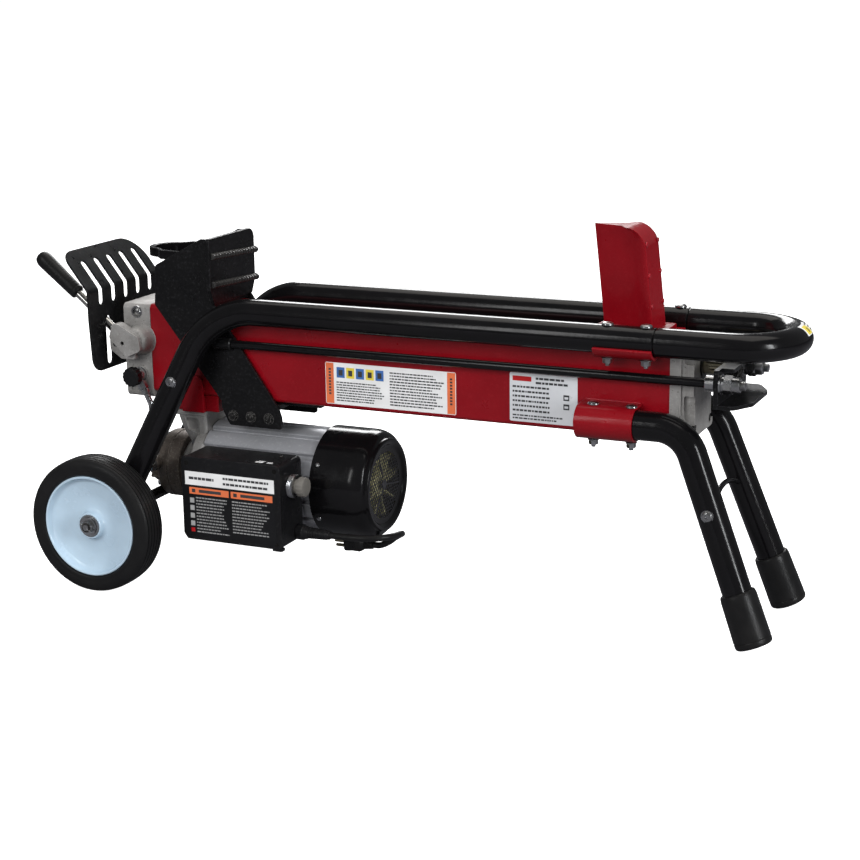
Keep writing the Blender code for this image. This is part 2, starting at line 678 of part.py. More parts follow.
def add_side_rods():
    for side, word in ((-1.0, "right"), (1.0, "left")):
        centre = (0, side * SIDE_ROD_Y, SIDE_ROD_Z)
        rod = [(0.1470, 0.0), (0.1470, SIDE_ROD_R - 0.0005), (0.1480, SIDE_ROD_R), (0.8165, SIDE_ROD_R),
               (0.8165, 0.0105), (0.8282, 0.0105), (0.8282, SIDE_ROD_R - GAP), (0.8650, SIDE_ROD_R - GAP),
               (0.8665, 0.0045), (0.8665, 0.0)]
        add_object(f"side_rod_{word}", turned(rod, "X", centre, 12), "black", "ram")
        nut = [(0.8348, SIDE_ROD_R), (0.8348, 0.0130), (0.8440, 0.0130), (0.8440, 0.0120),
               (0.8560, 0.0120), (0.8575, 0.0100), (0.8635, 0.0095), (0.8635, SIDE_ROD_R)]
        add_object(f"rod_nut_{word}", turned(nut, "X", centre, 12, closed=True), "steel", "ram")


def add_pusher():
    """A toothed face plate on two side plates that straddle the beam and hook under it."""
    top_z = 0.472
    face_half = 0.0625
    x1 = PUSH_FACE_X
    x0 = x1 - 0.006
    face = rounded_outline([(-face_half, 0.4005), (-0.0530, 0.3800), (0.0530, 0.3800), (face_half, 0.4005),
                            (face_half, top_z), (-face_half, top_z)],
                           [0.004, 0.0, 0.0, 0.004, 0.014, 0.004], 3)
    pusher = add_object("pusher", prism(face, "X", x0, x1), "black", "ram")
    inner, outer = PUSH_SIDE_Y
    side_points = [(0.027, 0.430), (0.101, 0.4700), (0.1175, 0.4700), (0.1175, 0.384), (0.127, 0.3665),
                   (0.2140, 0.2415), (0.2180, 0.2290), (0.2190, 0.2125), (0.1370, 0.2125), (0.1250, 0.2360),
                   (0.125, 0.246), (0.024, 0.3745), (0.025, 0.390)]
    side_radii = [0.006, 0.003, 0.0, 0.0, 0.0, 0.004, 0.004, 0.004, 0.004, 0.004, 0.0, 0.004, 0.004]
    outline = [(z, x) for x, z in rounded_outline(side_points, side_radii, 2)]
    for side in (-1.0, 1.0):
        y0, y1 = sorted((side * inner, side * outer))
        fuse(pusher, prism(outline, "Y", y0, y1), "side_plate")
        rod_centre = (0, side * SIDE_ROD_Y, SIDE_ROD_Z)
        groove = round_bar("X", 0.1400, 0.1700, SIDE_ROD_R + 2.0 * GAP, rod_centre, 12)
        cut(pusher, groove, "rod_groove")
        boss = round_bar("X", 0.1200, 0.1467, 0.0088, rod_centre, 14)
        fuse(pusher, boss, "rod_boss")
    shoe = box_outline((-inner - 0.001, inner + 0.001), (0.3735, 0.3800), 0.0)
    fuse(pusher, prism(shoe, "X", 0.030, 0.1175), "top_shoe")
    tilt = Matrix.Rotation(TOOTH_TILT, 4, "X")
    for z in (0.4050, 0.4440):
        ridge = [(-0.0050, x1 - 0.001), (-0.0020, x1 + 0.0060), (0.0020, x1 + 0.0060), (0.0050, x1 - 0.001)]
        bar = prism(ridge, "Y", -face_half + 0.004, face_half + 0.0035)
        bar.transform(Matrix.Translation((0, 0, z)) @ tilt)
        fuse(pusher, bar, "tooth_bar")
    fuse(pusher, strap_mesh(), "strap")
    keeper = prism(box_outline((-inner + GAP, inner - GAP), (0.2400, 0.2465), 0.002, 2), "X", 0.137, 0.2150)
    slide = add_object("slide_plate", keeper, "black", "ram")
    strip = prism(box_outline((-0.030, 0.030), (0.2420, 0.2465), 0.0), "X", 0.2140, 0.2680)
    fuse(slide, strip, "strip")


def strap_mesh():
    """A flat bar bent into a U behind the pusher, its ends welded to the side plates."""
    half, thick, z0, z1 = 0.0445, 0.005, 0.4390, 0.4500
    front = 0.080
    middle, radius = (0.0235, 0.0), 0.032
    outer = [(front, -0.0500), (0.0300, -half)] + arc_points(middle, radius, -100.0, -260.0, 10)
    outer += [(0.0300, half), (front, 0.0500)]
    inner = [(front, 0.0450), (0.0325, half - thick)]
    inner += arc_points(middle, radius - thick, -260.0, -100.0, 10)
    inner += [(0.0325, -half + thick), (front, -0.0450)]
    return prism(outer + inner, "Z", z0, z1)


# ---------------------------------------------------------------- motor and pump
def gear_outline(teeth, root, tip, phase):
    points = []
    pitch = 2.0 * math.pi / teeth
    for i in range(teeth):
        middle = phase + i * pitch
        for offset, radius in ((-0.22, root), (-0.10, tip), (0.10, tip), (0.22, root)):
            a = middle + offset * pitch
            points.append((radius * math.cos(a), radius * math.sin(a)))
    return points


def add_pump():
    centre = (0, 0, MOTOR_Z)
    body = [(-0.0180, 0.0), (-0.0180, 0.0260), (-0.0140, 0.0295), (0.0105, 0.0300), (0.0105, 0.0470),
            (0.0120, 0.0485), (0.0456, 0.0485), (0.0456, 0.0)]
    pump = add_object("pump_body", turned(body, "X", centre, 22), "iron")
    low = (0, 0, MOTOR_Z - GEAR_SPACING)
    cut(pump, round_bar("X", 0.0205, 0.0470, 0.0155, centre, 24), "drive_pocket")
    cut(pump, round_bar("X", 0.0205, 0.0470, 0.0155, low, 24), "driven_pocket")
    cut(pump, round_bar("X", 0.0100, 0.0300, SHAFT_R + GAP, centre, 16), "shaft_bearing")
    cut(pump, round_bar("X", 0.0100, 0.0300, 0.0053, low, 14), "stub_bearing")
    port = round_bar("Y", -0.0560, -0.0200, 0.0090, (0.008, 0, 0.143), 14)
    fuse(pump, port, "inlet_port")
    drive = [(y, z + MOTOR_Z) for y, z in gear_outline(10, 0.0112, 0.0150, 0.0)]
    gear = add_object("pump_drive_gear", prism(drive, "X", 0.0210, 0.0440), "steel", "motor", smooth=False)
    cut(gear, round_bar("X", 0.0200, 0.0460, SHAFT_R + GAP, centre, 16), "bore")
    driven = [(y, z + low[2]) for y, z in gear_outline(10, 0.0112, 0.0150, math.pi / 2.0)]
    stub = [(0.0102, 0.0), (0.0102, 0.005), (0.0450, 0.005), (0.0450, 0.0)]
    idler = add_object("pump_driven_gear", turned(stub, "X", low, 14), "steel", "driven", smooth=False)
    fuse(idler, prism(driven, "X", 0.0210, 0.0440), "teeth")


def add_motor_mount():
    """A casting under the beam: a tapered web, a spigot to the pump and a flange for the motor."""
    web = [(0.046, 0.2240), (0.084, 0.2240), (0.0870, 0.150), (0.0700, 0.150), (0.0580, 0.186),
           (0.046, 0.206)]
    outline = [(z, x) for x, z in web]
    mount = add_object("motor_mount", prism(outline, "Y", -0.030, 0.030), "cast")
    centre = (0, 0, MOTOR_Z)
    fuse(mount, round_bar("X", 0.0459, 0.0760, 0.0380, centre, 22), "pump_spigot")
    fuse(mount, round_bar("X", 0.0740, 0.0922, 0.0690, centre, 28, 0.002), "motor_flange")
    cut(mount, round_bar("X", 0.040, 0.100, SHAFT_R + 0.0015, centre, 18), "shaft_hole")
    low = (0, 0, MOTOR_Z - GEAR_SPACING)
    cut(mount, round_bar("X", 0.040, 0.050, 0.0150, low, 18), "gear_relief")


def ribbed_outline(count, root, tip):
    """The motor housing's outer shape: broad low ribs that run along it."""
    points = []
    pitch = 2.0 * math.pi / count
    for i in range(count):
        for offset, radius in ((-0.34, tip), (0.34, tip), (0.42, root), (0.58, root)):
            a = (i + offset) * pitch
            points.append((radius * math.cos(a), MOTOR_Z + radius * math.sin(a)))
    return points


def add_motor():
    centre = (0, 0, MOTOR_Z)
    housing = prism(ribbed_outline(14, MOTOR_R - 0.0022, MOTOR_R), "X", 0.0925, COWL_X[0] - GAP)
    body = add_object("motor_housing", housing, "silver")
    cut(body, round_bar("X", 0.080, 0.290, 0.0605, centre, 24), "bore")
    ring = [(0.120, 0.0370), (0.120, 0.0598), (0.240, 0.0598), (0.240, 0.0370)]
    add_object("stator", turned(ring, "X", centre, 24, closed=True), "copper")
    shaft = [(0.0105, 0.0), (0.0105, SHAFT_R), (0.120, SHAFT_R), (0.120, 0.0360), (0.240, 0.0360),
             (0.240, SHAFT_R), (0.328, SHAFT_R), (0.328, 0.0)]
    add_object("motor_rotor", turned(shaft, "X", centre, 24), "steel", "motor")
    add_fan()
    add_cowl()


def add_fan():
    blades = 7
    points = []
    pitch = 2.0 * math.pi / blades
    for i in range(blades):
        for offset, radius in ((-0.16, 0.020), (-0.16, 0.062), (0.16, 0.062), (0.16, 0.020)):
            a = i * pitch + offset * pitch * (0.020 / radius) ** 0.5
            points.append((radius * math.cos(a), MOTOR_Z + radius * math.sin(a)))
    fan = add_object("cooling_fan", prism(points, "X", 0.302, 0.324), "plastic", "motor", smooth=False)
    cut(fan, round_bar("X", 0.290, 0.335, SHAFT_R + GAP, (0, 0, MOTOR_Z), 16), "bore")


def add_cowl():
    """The fan's cover: a round cup with a rolled edge, a raised ring and a slotted middle."""
    x0, x1 = COWL_X
    outside = [(x0, COWL_R), (x1 - 0.027, COWL_R), (x1 - 0.015, COWL_R - 0.0025),
               (x1 - 0.006, COWL_R - 0.0085), (x1 - 0.004, 0.0655), (x1, 0.0640), (x1, 0.0580),
               (x1 - 0.005, 0.0540), (x1 - 0.005, 0.0)]
    inside = [(x1 - 0.0075, 0.0), (x1 - 0.0075, 0.0600), (x1 - 0.014, COWL_R - 0.006),
              (x1 - 0.026, COWL_R - 0.0022), (x0, COWL_R - 0.0022)]
    cup = turned(outside[::-1] + inside[::-1], "X", (0, 0, MOTOR_Z), 24)
    cowl = add_object("fan_cowl", cup, "black")
    for i in range(8):
        a = 2.0 * math.pi * i / 8.0
        slot = prism(box_outline((-0.0035, 0.0035), (0.014, 0.044), 0.0), "X", x1 - 0.010, x1 - 0.003)
        slot.transform(Matrix.Translation((0, 0, MOTOR_Z)) @ Matrix.Rotation(a, 4, "X"))
        cut(cowl, slot, f"slot_{i}")


# ---------------------------------------------------------------- switch box and cord
def add_switch_box():
    face = rounded_outline([(BOX_Z[0], BOX_X[0] + 0.006), (BOX_Z[0] + 0.008, BOX_X[0]), (BOX_Z[1], BOX_X[0]),
                            (BOX_Z[1], BOX_X[1]), (BOX_Z[0], BOX_X[1])], [0.0, 0.0, 0.004, 0.006, 0.004], 3)
    box = add_object("switch_box", prism(face, "Y", *BOX_Y), "plastic")
    w = 0.003
    hollow = prism(box_outline((BOX_Z[0] + w + 0.004, BOX_Z[1] - w), (BOX_X[0] + w, BOX_X[1] - w), 0.003, 2),
                   "Y", BOX_Y[0] + w, BOX_Y[1] + 0.010)
    cut(box, hollow, "hollow")
    y, z = BUTTON
    cut(box, round_bar("X", BOX_X[1] - 0.010, BOX_X[1] + 0.010, 0.0118, (0, y, z), 20), "button_hole")
    x = BOX_X[1]
    ring = [(x + GAP, 0.0110), (x + GAP, 0.0165), (x + 0.0100, 0.0165), (x + 0.0130, 0.0150),
            (x + 0.0130, 0.0135), (x + 0.0130, 0.0110)]
    add_object("button_bezel", turned(ring, "X", (0, y, z), 24, closed=True), "steel")
    cap = [(x - 0.0060, 0.0), (x - 0.0060, 0.0090), (x + 0.0010, 0.0105), (x + 0.0220, 0.0105),
           (x + 0.0245, 0.0085), (x + 0.0245, 0.0)]
    add_object("push_button", turned(cap, "X", (0, y, z), 24), "grey", "button")


def smooth_route(points, spacing):
    """Evenly spaced points on a smooth curve through the route's own points."""
    route = [Vector(p) for p in points]
    ends = [route[0] * 2 - route[1]] + route + [route[-1] * 2 - route[-2]]
    dense = []
    for i in range(1, len(ends) - 2):
        a, b, c, d = ends[i - 1], ends[i], ends[i + 1], ends[i + 2]
        for k in range(24):
            t = k / 24.0
            dense.append(0.5 * (2 * b + (c - a) * t + (2 * a - 5 * b + 4 * c - d) * t ** 2
                                + (3 * b - a - 3 * c + d) * t ** 3))
    dense.append(route[-1])
    lengths = [0.0]
    for p, q in zip(dense, dense[1:]):
        lengths.append(lengths[-1] + (q - p).length)
    count = max(2, round(lengths[-1] / spacing))
    result = []
    for i in range(count + 1):
        want = lengths[-1] * i / count
        k = max(j for j in range(len(dense)) if lengths[j] <= want + 1e-9)
        k = min(k, len(dense) - 2)
        span = lengths[k + 1] - lengths[k]
        result.append(dense[k].lerp(dense[k + 1], (want - lengths[k]) / span))
    return result


# The cord's own route, from the strain relief round in front of the fan cover to the plug.
CORD_ROUTE = [
    CORD_EXIT,
    (0.3260, -0.0925, 0.0832),
    (0.3430, -0.0925, 0.0836),
    (0.3590, -0.0905, 0.0840),
    (0.3735, -0.0850, 0.0843),
    (0.3850, -0.0752, 0.0842),
    (0.3915, -0.0620, 0.0835),
    (0.3925, -0.0475, 0.0815),
    (0.3885, -0.0335, 0.0775),
    (0.3800, -0.0220, 0.0718),
    (0.3685, -0.0130, 0.0640),
    (0.3570, -0.0068, 0.0550),
    (0.3450, -0.0032, 0.0480),
    (0.3375, -0.0021, 0.0455),
    PLUG_END,
]


def add_cord():
    y, z = CORD_EXIT[1], CORD_EXIT[2]
    x = BOX_X[1] + GAP
    relief = [(x, 0.0), (x, 0.0105), (x + 0.010, 0.0105), (x + 0.012, 0.0085), (CORD_EXIT[0] - GAP, 0.0060),
              (CORD_EXIT[0] - GAP, 0.0)]
    add_object("strain_relief", turned(relief, "X", (0, y, z), 18), "plastic")
    curve = bpy.data.curves.new("power_cord", "CURVE")
    curve.dimensions = "3D"
    curve.bevel_depth = CORD_R
    curve.bevel_resolution = 2
    curve.use_fill_caps = True
    points = smooth_route(CORD_ROUTE, 0.0105)
    spline = curve.splines.new("POLY")
    spline.points.add(len(points) - 1)
    for spot, place in zip(spline.points, points):
        spot.co = (*place, 1.0)
    curve.materials.append(MATERIALS["rubber"])
    cord = bpy.data.objects.new("power_cord", curve)
    bpy.context.scene.collection.objects.link(cord)
    cord.parent = FRAME["frame"]
    add_plug()


def add_plug():
    """A moulded three-pin plug: a tapered neck, a squarer body and its pins."""
    end = Vector(PLUG_END)
    x = end.x - 2.0 * GAP

    def ring(at, half_y, half_z, corner):
        outline = box_outline((-half_y, half_y), (-half_z, half_z), corner, 3)
        return [Vector((at, end.y + u, end.z + v)) for u, v in outline]

    rings = [ring(x, 0.0062, 0.0062, 0.0060), ring(x - 0.012, 0.0075, 0.0072, 0.0070),
             ring(x - 0.016, 0.0115, 0.0100, 0.0070), ring(x - 0.036, 0.0135, 0.0108, 0.0070),
             ring(x - 0.040, 0.0135, 0.0108, 0.0060)]
    plug = add_object("plug", lofted(rings, name="plug"), "rubber")
    pins = ((-0.0063, 0.0032), (0.0063, 0.0032))
    for i, (dy, dz) in enumerate(pins):
        across = (end.y + dy - 0.0008, end.y + dy + 0.0008)
        blade = box_outline(across, (end.z + dz - 0.003, end.z + dz + 0.003))
        fuse(plug, prism(blade, "X", x - 0.057, x - 0.039), f"blade_{i}")
    fuse(plug, round_bar("X", x - 0.058, x - 0.039, 0.0024, (0, end.y, end.z - 0.0060), 10), "earth_pin")


# ---------------------------------------------------------------- controls at the valve end
def add_hand_guard():
    """A slotted sheet across the valve end, upright below and leaning back above."""
    t = 0.0030
    top = 0.0660
    outline = rounded_outline([(-0.098, -0.040), (-0.0925, -0.1165), (0.040, -0.1165), (0.074, -0.080),
                               (0.084, 0.010), (0.086, top), (-0.098, top)],
                              [0.030, 0.022, 0.015, 0.020, 0.0, 0.042, 0.020], 4)
    bm = bmesh.new()
    bm.faces.new([bm.verts.new((GUARD_X, y, GUARD_KNEE_Z + s)) for y, s in outline])
    for s in (-0.004, 0.004):
        everything = list(bm.verts) + list(bm.edges) + list(bm.faces)
        bmesh.ops.bisect_plane(bm, geom=everything, plane_co=(0, 0, GUARD_KNEE_Z + s), plane_no=(0, 0, 1))
    slab = bmesh.ops.extrude_face_region(bm, geom=list(bm.faces))
    moved = [g for g in slab["geom"] if isinstance(g, bmesh.types.BMVert)]
    bmesh.ops.translate(bm, verts=moved, vec=(-t, 0, 0))
    guard = add_object("hand_guard", finish_mesh(bm, "guard"), "black", smooth=False)
    for i in range(5):
        y = -0.0665 + 0.0318 * i
        slot = box_outline((y - 0.0058, y + 0.0058), (GUARD_KNEE_Z - 0.023, GUARD_KNEE_Z + 0.047), 0.0056, 3)
        cut(guard, prism(slot, "X", GUARD_X - 0.02, GUARD_X + 0.02), f"slot_{i}")
    lever_slot = box_outline((LEVER_PIVOT[1] - 0.0066, LEVER_PIVOT[1] + 0.0066), (0.285, 0.354), 0.006, 3)
    cut(guard, prism(lever_slot, "X", GUARD_X - 0.02, GUARD_X + 0.02), "lever_slot")
    lean_guard(guard)


def lean_guard(guard):
    """Apply the slots, then tip every point above the knee back about the knee line."""
    bpy.context.view_layer.update()
    graph = bpy.context.evaluated_depsgraph_get()
    mesh = bpy.data.meshes.new_from_object(guard.evaluated_get(graph))
    guard.modifiers.clear()
    guard.data = mesh
    for vert in mesh.vertices:
        rise = vert.co.z - GUARD_KNEE_Z
        if rise <= 0.0:
            continue
        lean = GUARD_LEAN * min(1.0, rise / 0.0041)
        back = vert.co.x - GUARD_X
        vert.co.z = GUARD_KNEE_Z + rise * math.cos(lean) + back * math.sin(lean)
        vert.co.x = GUARD_X - rise * math.sin(lean) + back * math.cos(lean)


def add_lever():
    px, py, pz = LEVER_PIVOT
    up = Vector((-0.769, 0.0, 0.639)).normalized()
    hub = turned([(-0.0025, 0.0040), (-0.0025, 0.0085), (0.0025, 0.0085), (0.0025, 0.0040)],
                 "Y", (px, py, pz), 20, closed=True)
    rod = add_object("lever_rod", hub, "steel", "lever")
    root = Vector(LEVER_PIVOT) + Vector((0.639, 0.0, 0.769)) * LEVER_RISE
    shaft_path = [root - up * 0.004, root + up * 0.006, root + up * 0.020, root + up * 0.144]
    shaft = pipe(shaft_path, [0.0030, 0.0038, 0.0055, 0.0055], 0.0, 12)
    fuse(rod, shaft, "shaft")
    stations = ((0.0930, 0.0088), (0.0970, 0.0112), (0.1090, 0.0114), (0.1540, 0.0102), (0.1640, 0.0098),
                (0.1715, 0.0078), (0.1745, 0.0040))
    grip_path = [root + up * s for s, _ in stations]
    grip = add_object("lever_grip", pipe(grip_path, [r for _, r in stations], 0.0, 16), "plastic", "lever")
    bore = pipe([root + up * 0.084, root + up * 0.1445], 0.0059, 0.0, 12)
    cut(grip, bore, "bore")


def add_controls():
    spool = [(0.246, 0.0), (0.246, 0.0064), (0.264, 0.0064), (0.264, 0.0040), (0.280, 0.0040),
             (0.280, 0.0064), (0.300, 0.0064), (0.300, 0.0040), (0.318, 0.0040), (0.318, 0.0064),
             (0.336, 0.0064), (0.336, 0.0)]
    add_object("valve_spool", turned(spool, "Z", (-0.012, -0.018, 0), 16), "steel", "spool")
    x, z = KNOB_AXIS
    knob = []
    lobes = 14
    for i in range(lobes * 2):
        a = math.pi * i / lobes
        radius = 0.0140 if i % 2 else 0.0128
        knob.append((z + radius * math.cos(a), x + radius * math.sin(a)))
    obj = add_object("bleed_knob", prism(knob, "Y", -0.0780, -0.0655), "plastic", "knob")
    fuse(obj, round_bar("Y", -0.0662, -0.0625, 0.0075, (x, 0, z), 16), "collar")


def add_oil_pipe():
    """A steel pipe from a banjo under the bleed knob down to the pump's inlet."""
    x, z = KNOB_AXIS
    corners = [Vector((x + 0.002, -0.0565, z - 0.006)), Vector((0.012, -0.0565, 0.231)),
               Vector((0.020, -0.0660, 0.175)), Vector((0.008, -0.0790, 0.143)),
               Vector((0.008, -0.0620, 0.143))]
    path = filleted_path(corners, [0.020, 0.015, 0.009], 20.0)
    tube = add_object("oil_pipe", pipe(path, 0.0042, 0.0, 12), "steel")
    fuse(tube, round_bar("Y", -0.0620, -0.0508, 0.0098, (x, 0, z), 18), "banjo")
    fuse(tube, round_bar("Y", -0.0680, -0.0563, 0.0085, (0.008, 0, 0.143), 6), "union_nut")


# ---------------------------------------------------------------- assembly
def add_axes():
    FRAME["frame"] = make_empty("splitter", (-FOOTPRINT_MIDDLE, 0.0, 0.0))
    root = FRAME["frame"]
    places = {
        "ram": (0.0, 0.0, CYLINDER_Z),
        "lever": LEVER_PIVOT,
        "spool": (-0.012, -0.018, 0.290),
        "button": (BOX_X[1], BUTTON[0], BUTTON[1]),
        "motor": (0.18, 0.0, MOTOR_Z),
        "driven": (0.03, 0.0, MOTOR_Z - GEAR_SPACING),
        "knob": (KNOB_AXIS[0], -0.070, KNOB_AXIS[1]),
        "wheel_right": (0.0, -WHEEL_Y, WHEEL_R),
        "wheel_left": (0.0, WHEEL_Y, WHEEL_R),
    }
    for name, place in places.items():
        FRAME[name] = make_empty(f"axis_{name}", place, root)


def main():
    clear_scene()
    MATERIALS.update(make_materials())
    add_axes()
    add_beam()
    add_cylinder()
    add_valve_cover()
    add_end_cover()
    add_rails()
    add_handle()
    add_cradles()
    add_saddles()
    add_front_legs()
    add_leg_brace()
    add_frame_bolts()
    add_wedge()
    add_wheels()
    add_ram()
    add_pump()
    add_motor_mount()
    add_motor()
    add_switch_box()
    add_cord()
    add_hand_guard()
    add_lever()
    add_controls()
    add_oil_pipe()


main()
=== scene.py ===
"""The looks of the log splitter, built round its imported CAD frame."""
import math
import random

import bmesh
import bpy
from mathutils import Matrix, Vector


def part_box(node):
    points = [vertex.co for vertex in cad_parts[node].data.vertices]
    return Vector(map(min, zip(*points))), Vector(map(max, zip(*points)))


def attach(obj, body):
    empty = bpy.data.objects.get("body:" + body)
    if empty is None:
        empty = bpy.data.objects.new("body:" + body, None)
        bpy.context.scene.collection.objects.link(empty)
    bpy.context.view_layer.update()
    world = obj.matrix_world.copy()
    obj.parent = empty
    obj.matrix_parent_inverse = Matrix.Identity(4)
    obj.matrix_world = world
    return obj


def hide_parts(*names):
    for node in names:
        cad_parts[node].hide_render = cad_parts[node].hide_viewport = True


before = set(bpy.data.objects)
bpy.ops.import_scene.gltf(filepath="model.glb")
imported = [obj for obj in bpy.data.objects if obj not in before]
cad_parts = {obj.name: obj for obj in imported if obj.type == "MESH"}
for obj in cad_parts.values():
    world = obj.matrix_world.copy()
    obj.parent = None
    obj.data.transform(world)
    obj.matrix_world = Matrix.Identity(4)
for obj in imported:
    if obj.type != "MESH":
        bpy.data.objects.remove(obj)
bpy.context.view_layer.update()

axle_low, axle_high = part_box("axle")
AXLE_X = (axle_low.x + axle_high.x) / 2

# shapes are in millimetres, X from the axle, Y from the middle and Z from the ground
MM = 0.001
GAP = 0.3

WHEEL_R, WHEEL_Y, RIM_R = 94, 188, 70
RAIL_Y, RAIL_Z, TUBE_R = 72.6, 378, 18.4
RAIL_JOINT_X, HANDLE_ARC_X = 757, 842
FOOT_LEG_R, FOOT_LEG_Y, FOOT_LEG_Z = 19, 68, 270
FOOT_KNEE_X, FOOT_END = 793.3, (894.5, 88)
CAP_R, CAP_LENGTH = 24, 70
MOTOR_Z, MOTOR_R = 134, 72.2
COWL_R, COWL_X = 76.2, (269, 353)
SIDE_ROD_Y, SIDE_ROD_Z, SIDE_ROD_R = 55.8, 328, 6
ROD_R, CYLINDER_Z, ROD_TAIL_Z = 12.5, 340, 331.5
BOX_X, BOX_Y, BOX_Z = (108, 260), (-140, -76.5), (70, 187)
BUTTON_Y, BUTTON_Z = -108, 152
LEVER_PIVOT = Vector((-36, -52, 317))
KNOB_X, KNOB_Z = -7, 273
GUARD_X, GUARD_KNEE_Z, GUARD_LEAN = -55, 395, math.radians(37.5)
CORD_R = 4.5
CORD_ROUTE = [(309.3, -92, 83), (326, -92.5, 83.2), (343, -92.5, 83.6), (359, -90.5, 84), (373.5, -85, 84.3),
    (385, -75.2, 84.2), (391.5, -62, 83.5), (392.5, -47.5, 81.5), (388.5, -33.5, 77.5), (380, -22, 71.8),
    (368.5, -13, 64), (357, -6.8, 55), (345, -3.2, 48), (337.5, -2.1, 45.5), (330, -2, 45.3)]
SIDES = ((-1, "right"), (1, "left"))


# ---------------------------------------------------------------- camera
def add_camera():
    data = bpy.data.cameras.new("photo_view")
    camera = linked("photo_view", data)
    turn = (Matrix.Rotation(math.radians(24.268), 4, "Z") @ Matrix.Rotation(math.radians(75.65), 4, "X")
        @ Matrix.Rotation(math.radians(-0.761), 4, "Z"))
    camera.matrix_world = Matrix.Translation((1.4462 + AXLE_X, -2.2735, 0.8573)) @ turn
    data.sensor_width = 36
    data.lens = 79.615
    data.shift_x = -0.0030
    data.shift_y = -0.0006
    data.clip_start = 0.05
    data.clip_end = 200
    bpy.context.scene.camera = camera


# ---------------------------------------------------------------- mesh tools
def finish_mesh(bm, name="mesh"):
    bmesh.ops.recalc_face_normals(bm, faces=bm.faces)
    mesh = bpy.data.meshes.new(name)
    bm.to_mesh(mesh)
    bm.free()
    return mesh


def lofted(rings, closed=False):
    """Skin a list of rings of points; one-point rings are tips."""
    bm = bmesh.new()
    verts = [[bm.verts.new(Vector(p) * MM) for p in ring] for ring in rings]
    pairs = list(zip(verts, verts[1:]))
    if closed:
        pairs.append((verts[-1], verts[0]))
    for first, second in pairs:
        count = max(len(first), len(second))
        for i in range(count):
            j = (i + 1) % count
            if len(first) == 1:
                bm.faces.new((first[0], second[j], second[i]))
            elif len(second) == 1:
                bm.faces.new((first[i], first[j], second[0]))
            else:
                bm.faces.new((first[i], first[j], second[j], second[i]))
    if not closed:
        for ring in (verts[0], verts[-1]):
            if len(ring) > 2:
                bm.faces.new(ring)
    return finish_mesh(bm)


def linked(name, data):
    obj = bpy.data.objects.new(name, data)
    bpy.context.scene.collection.objects.link(obj)
    return obj


def baked(base, tools=()):
    """The mesh that an object's modifiers make of it; the object and its tools are then removed."""
    bpy.context.view_layer.update()
    done = bpy.data.meshes.new_from_object(base.evaluated_get(bpy.context.evaluated_depsgraph_get()))
    for obj in (base, *tools):
        bpy.data.objects.remove(obj)
    return done


def shift(x, y, z):
    return Matrix.Translation((x * MM, y * MM, z * MM))


def spin(angle, axis="X"):
    return Matrix.Rotation(angle, 4, axis)


def span(side, near, far):
    """Two distances from the middle as a low and a high Y on one side."""
    return sorted((side * near, side * far))


def axis_point(axis, along, u, v):
    if axis == "X":
        return Vector((along, u, v))
    if axis == "Y":
        return Vector((v, along, u))
    return Vector((u, v, along))


def turned(profile, axis, centre, segments=64, closed=False, phase=0):
    """Turn (along, radius) pairs about an axis through centre."""
    rings = []
    for along, radius in profile:
        if not radius:
            rings.append([axis_point(axis, along, 0, 0) + Vector(centre)])
            continue
        angles = [phase + 2 * math.pi * i / segments for i in range(segments)]
        rings.append([axis_point(axis, along, radius * math.cos(a), radius * math.sin(a)) + Vector(centre)
            for a in angles])
    return lofted(rings, closed)


def bar(axis, lo, hi, radius, centre, segments=48, chamfer=0):
    c = chamfer
    profile = [(lo, radius), (hi, radius)]
    if c > 0:
        profile = [(lo, radius - c), (lo + c, radius), (hi - c, radius), (hi, radius - c)]
    return turned(profile, axis, centre, segments)


def prism(outline, axis, lo, hi):
    return lofted([[axis_point(axis, a, u, v) for u, v in outline] for a in (lo, hi)])


def rect(u_range, v_range, radius=0, steps=7):
    (u0, u1), (v0, v1) = u_range, v_range
    if radius <= 0:
        return [(u0, v0), (u1, v0), (u1, v1), (u0, v1)]
    return rounded([(u0, v0), (u1, v0), (u1, v1), (u0, v1)], [radius] * 4, steps)


def rounded(points, radii, steps=7):
    """Round each corner of a flat outline by its own radius."""
    result = []
    count = len(points)
    for i, (corner, radius) in enumerate(zip(points, radii)):
        here = Vector(corner)
        if radius <= 0:
            result.append(tuple(here))
            continue
        result += [tuple(p) for p in arc_between(here, Vector(points[i - 1]), Vector(points[(i + 1) % count]),
            radius, steps)]
    return result


def arc_between(here, last, following, radius, steps):
    before = (last - here).normalized()
    after = (following - here).normalized()
    half = before.angle(after) / 2
    reach = radius / math.tan(half)
    centre = here + (before + after).normalized() * (radius / math.sin(half))
    start = here + before * reach - centre
    stop = here + after * reach - centre
    sweep = start.angle(stop)
    points = []
    for k in range(steps + 1):
        t = k / steps
        blend = start * math.sin((1 - t) * sweep) + stop * math.sin(t * sweep)
        points.append(centre + blend / math.sin(sweep))
    return points


def filleted(corners, radii, step_degrees=4):
    """A 3D path through corners, each inner one rounded."""
    points = [Vector(corners[0])]
    for i in range(1, len(corners) - 1):
        here, last, following = (Vector(corners[k]) for k in (i, i - 1, i + 1))
        sweep = math.degrees(math.pi - (last - here).angle(following - here))
        points += arc_between(here, last, following, radii[i - 1], max(3, round(sweep / step_degrees)))
    points.append(Vector(corners[-1]))
    return points


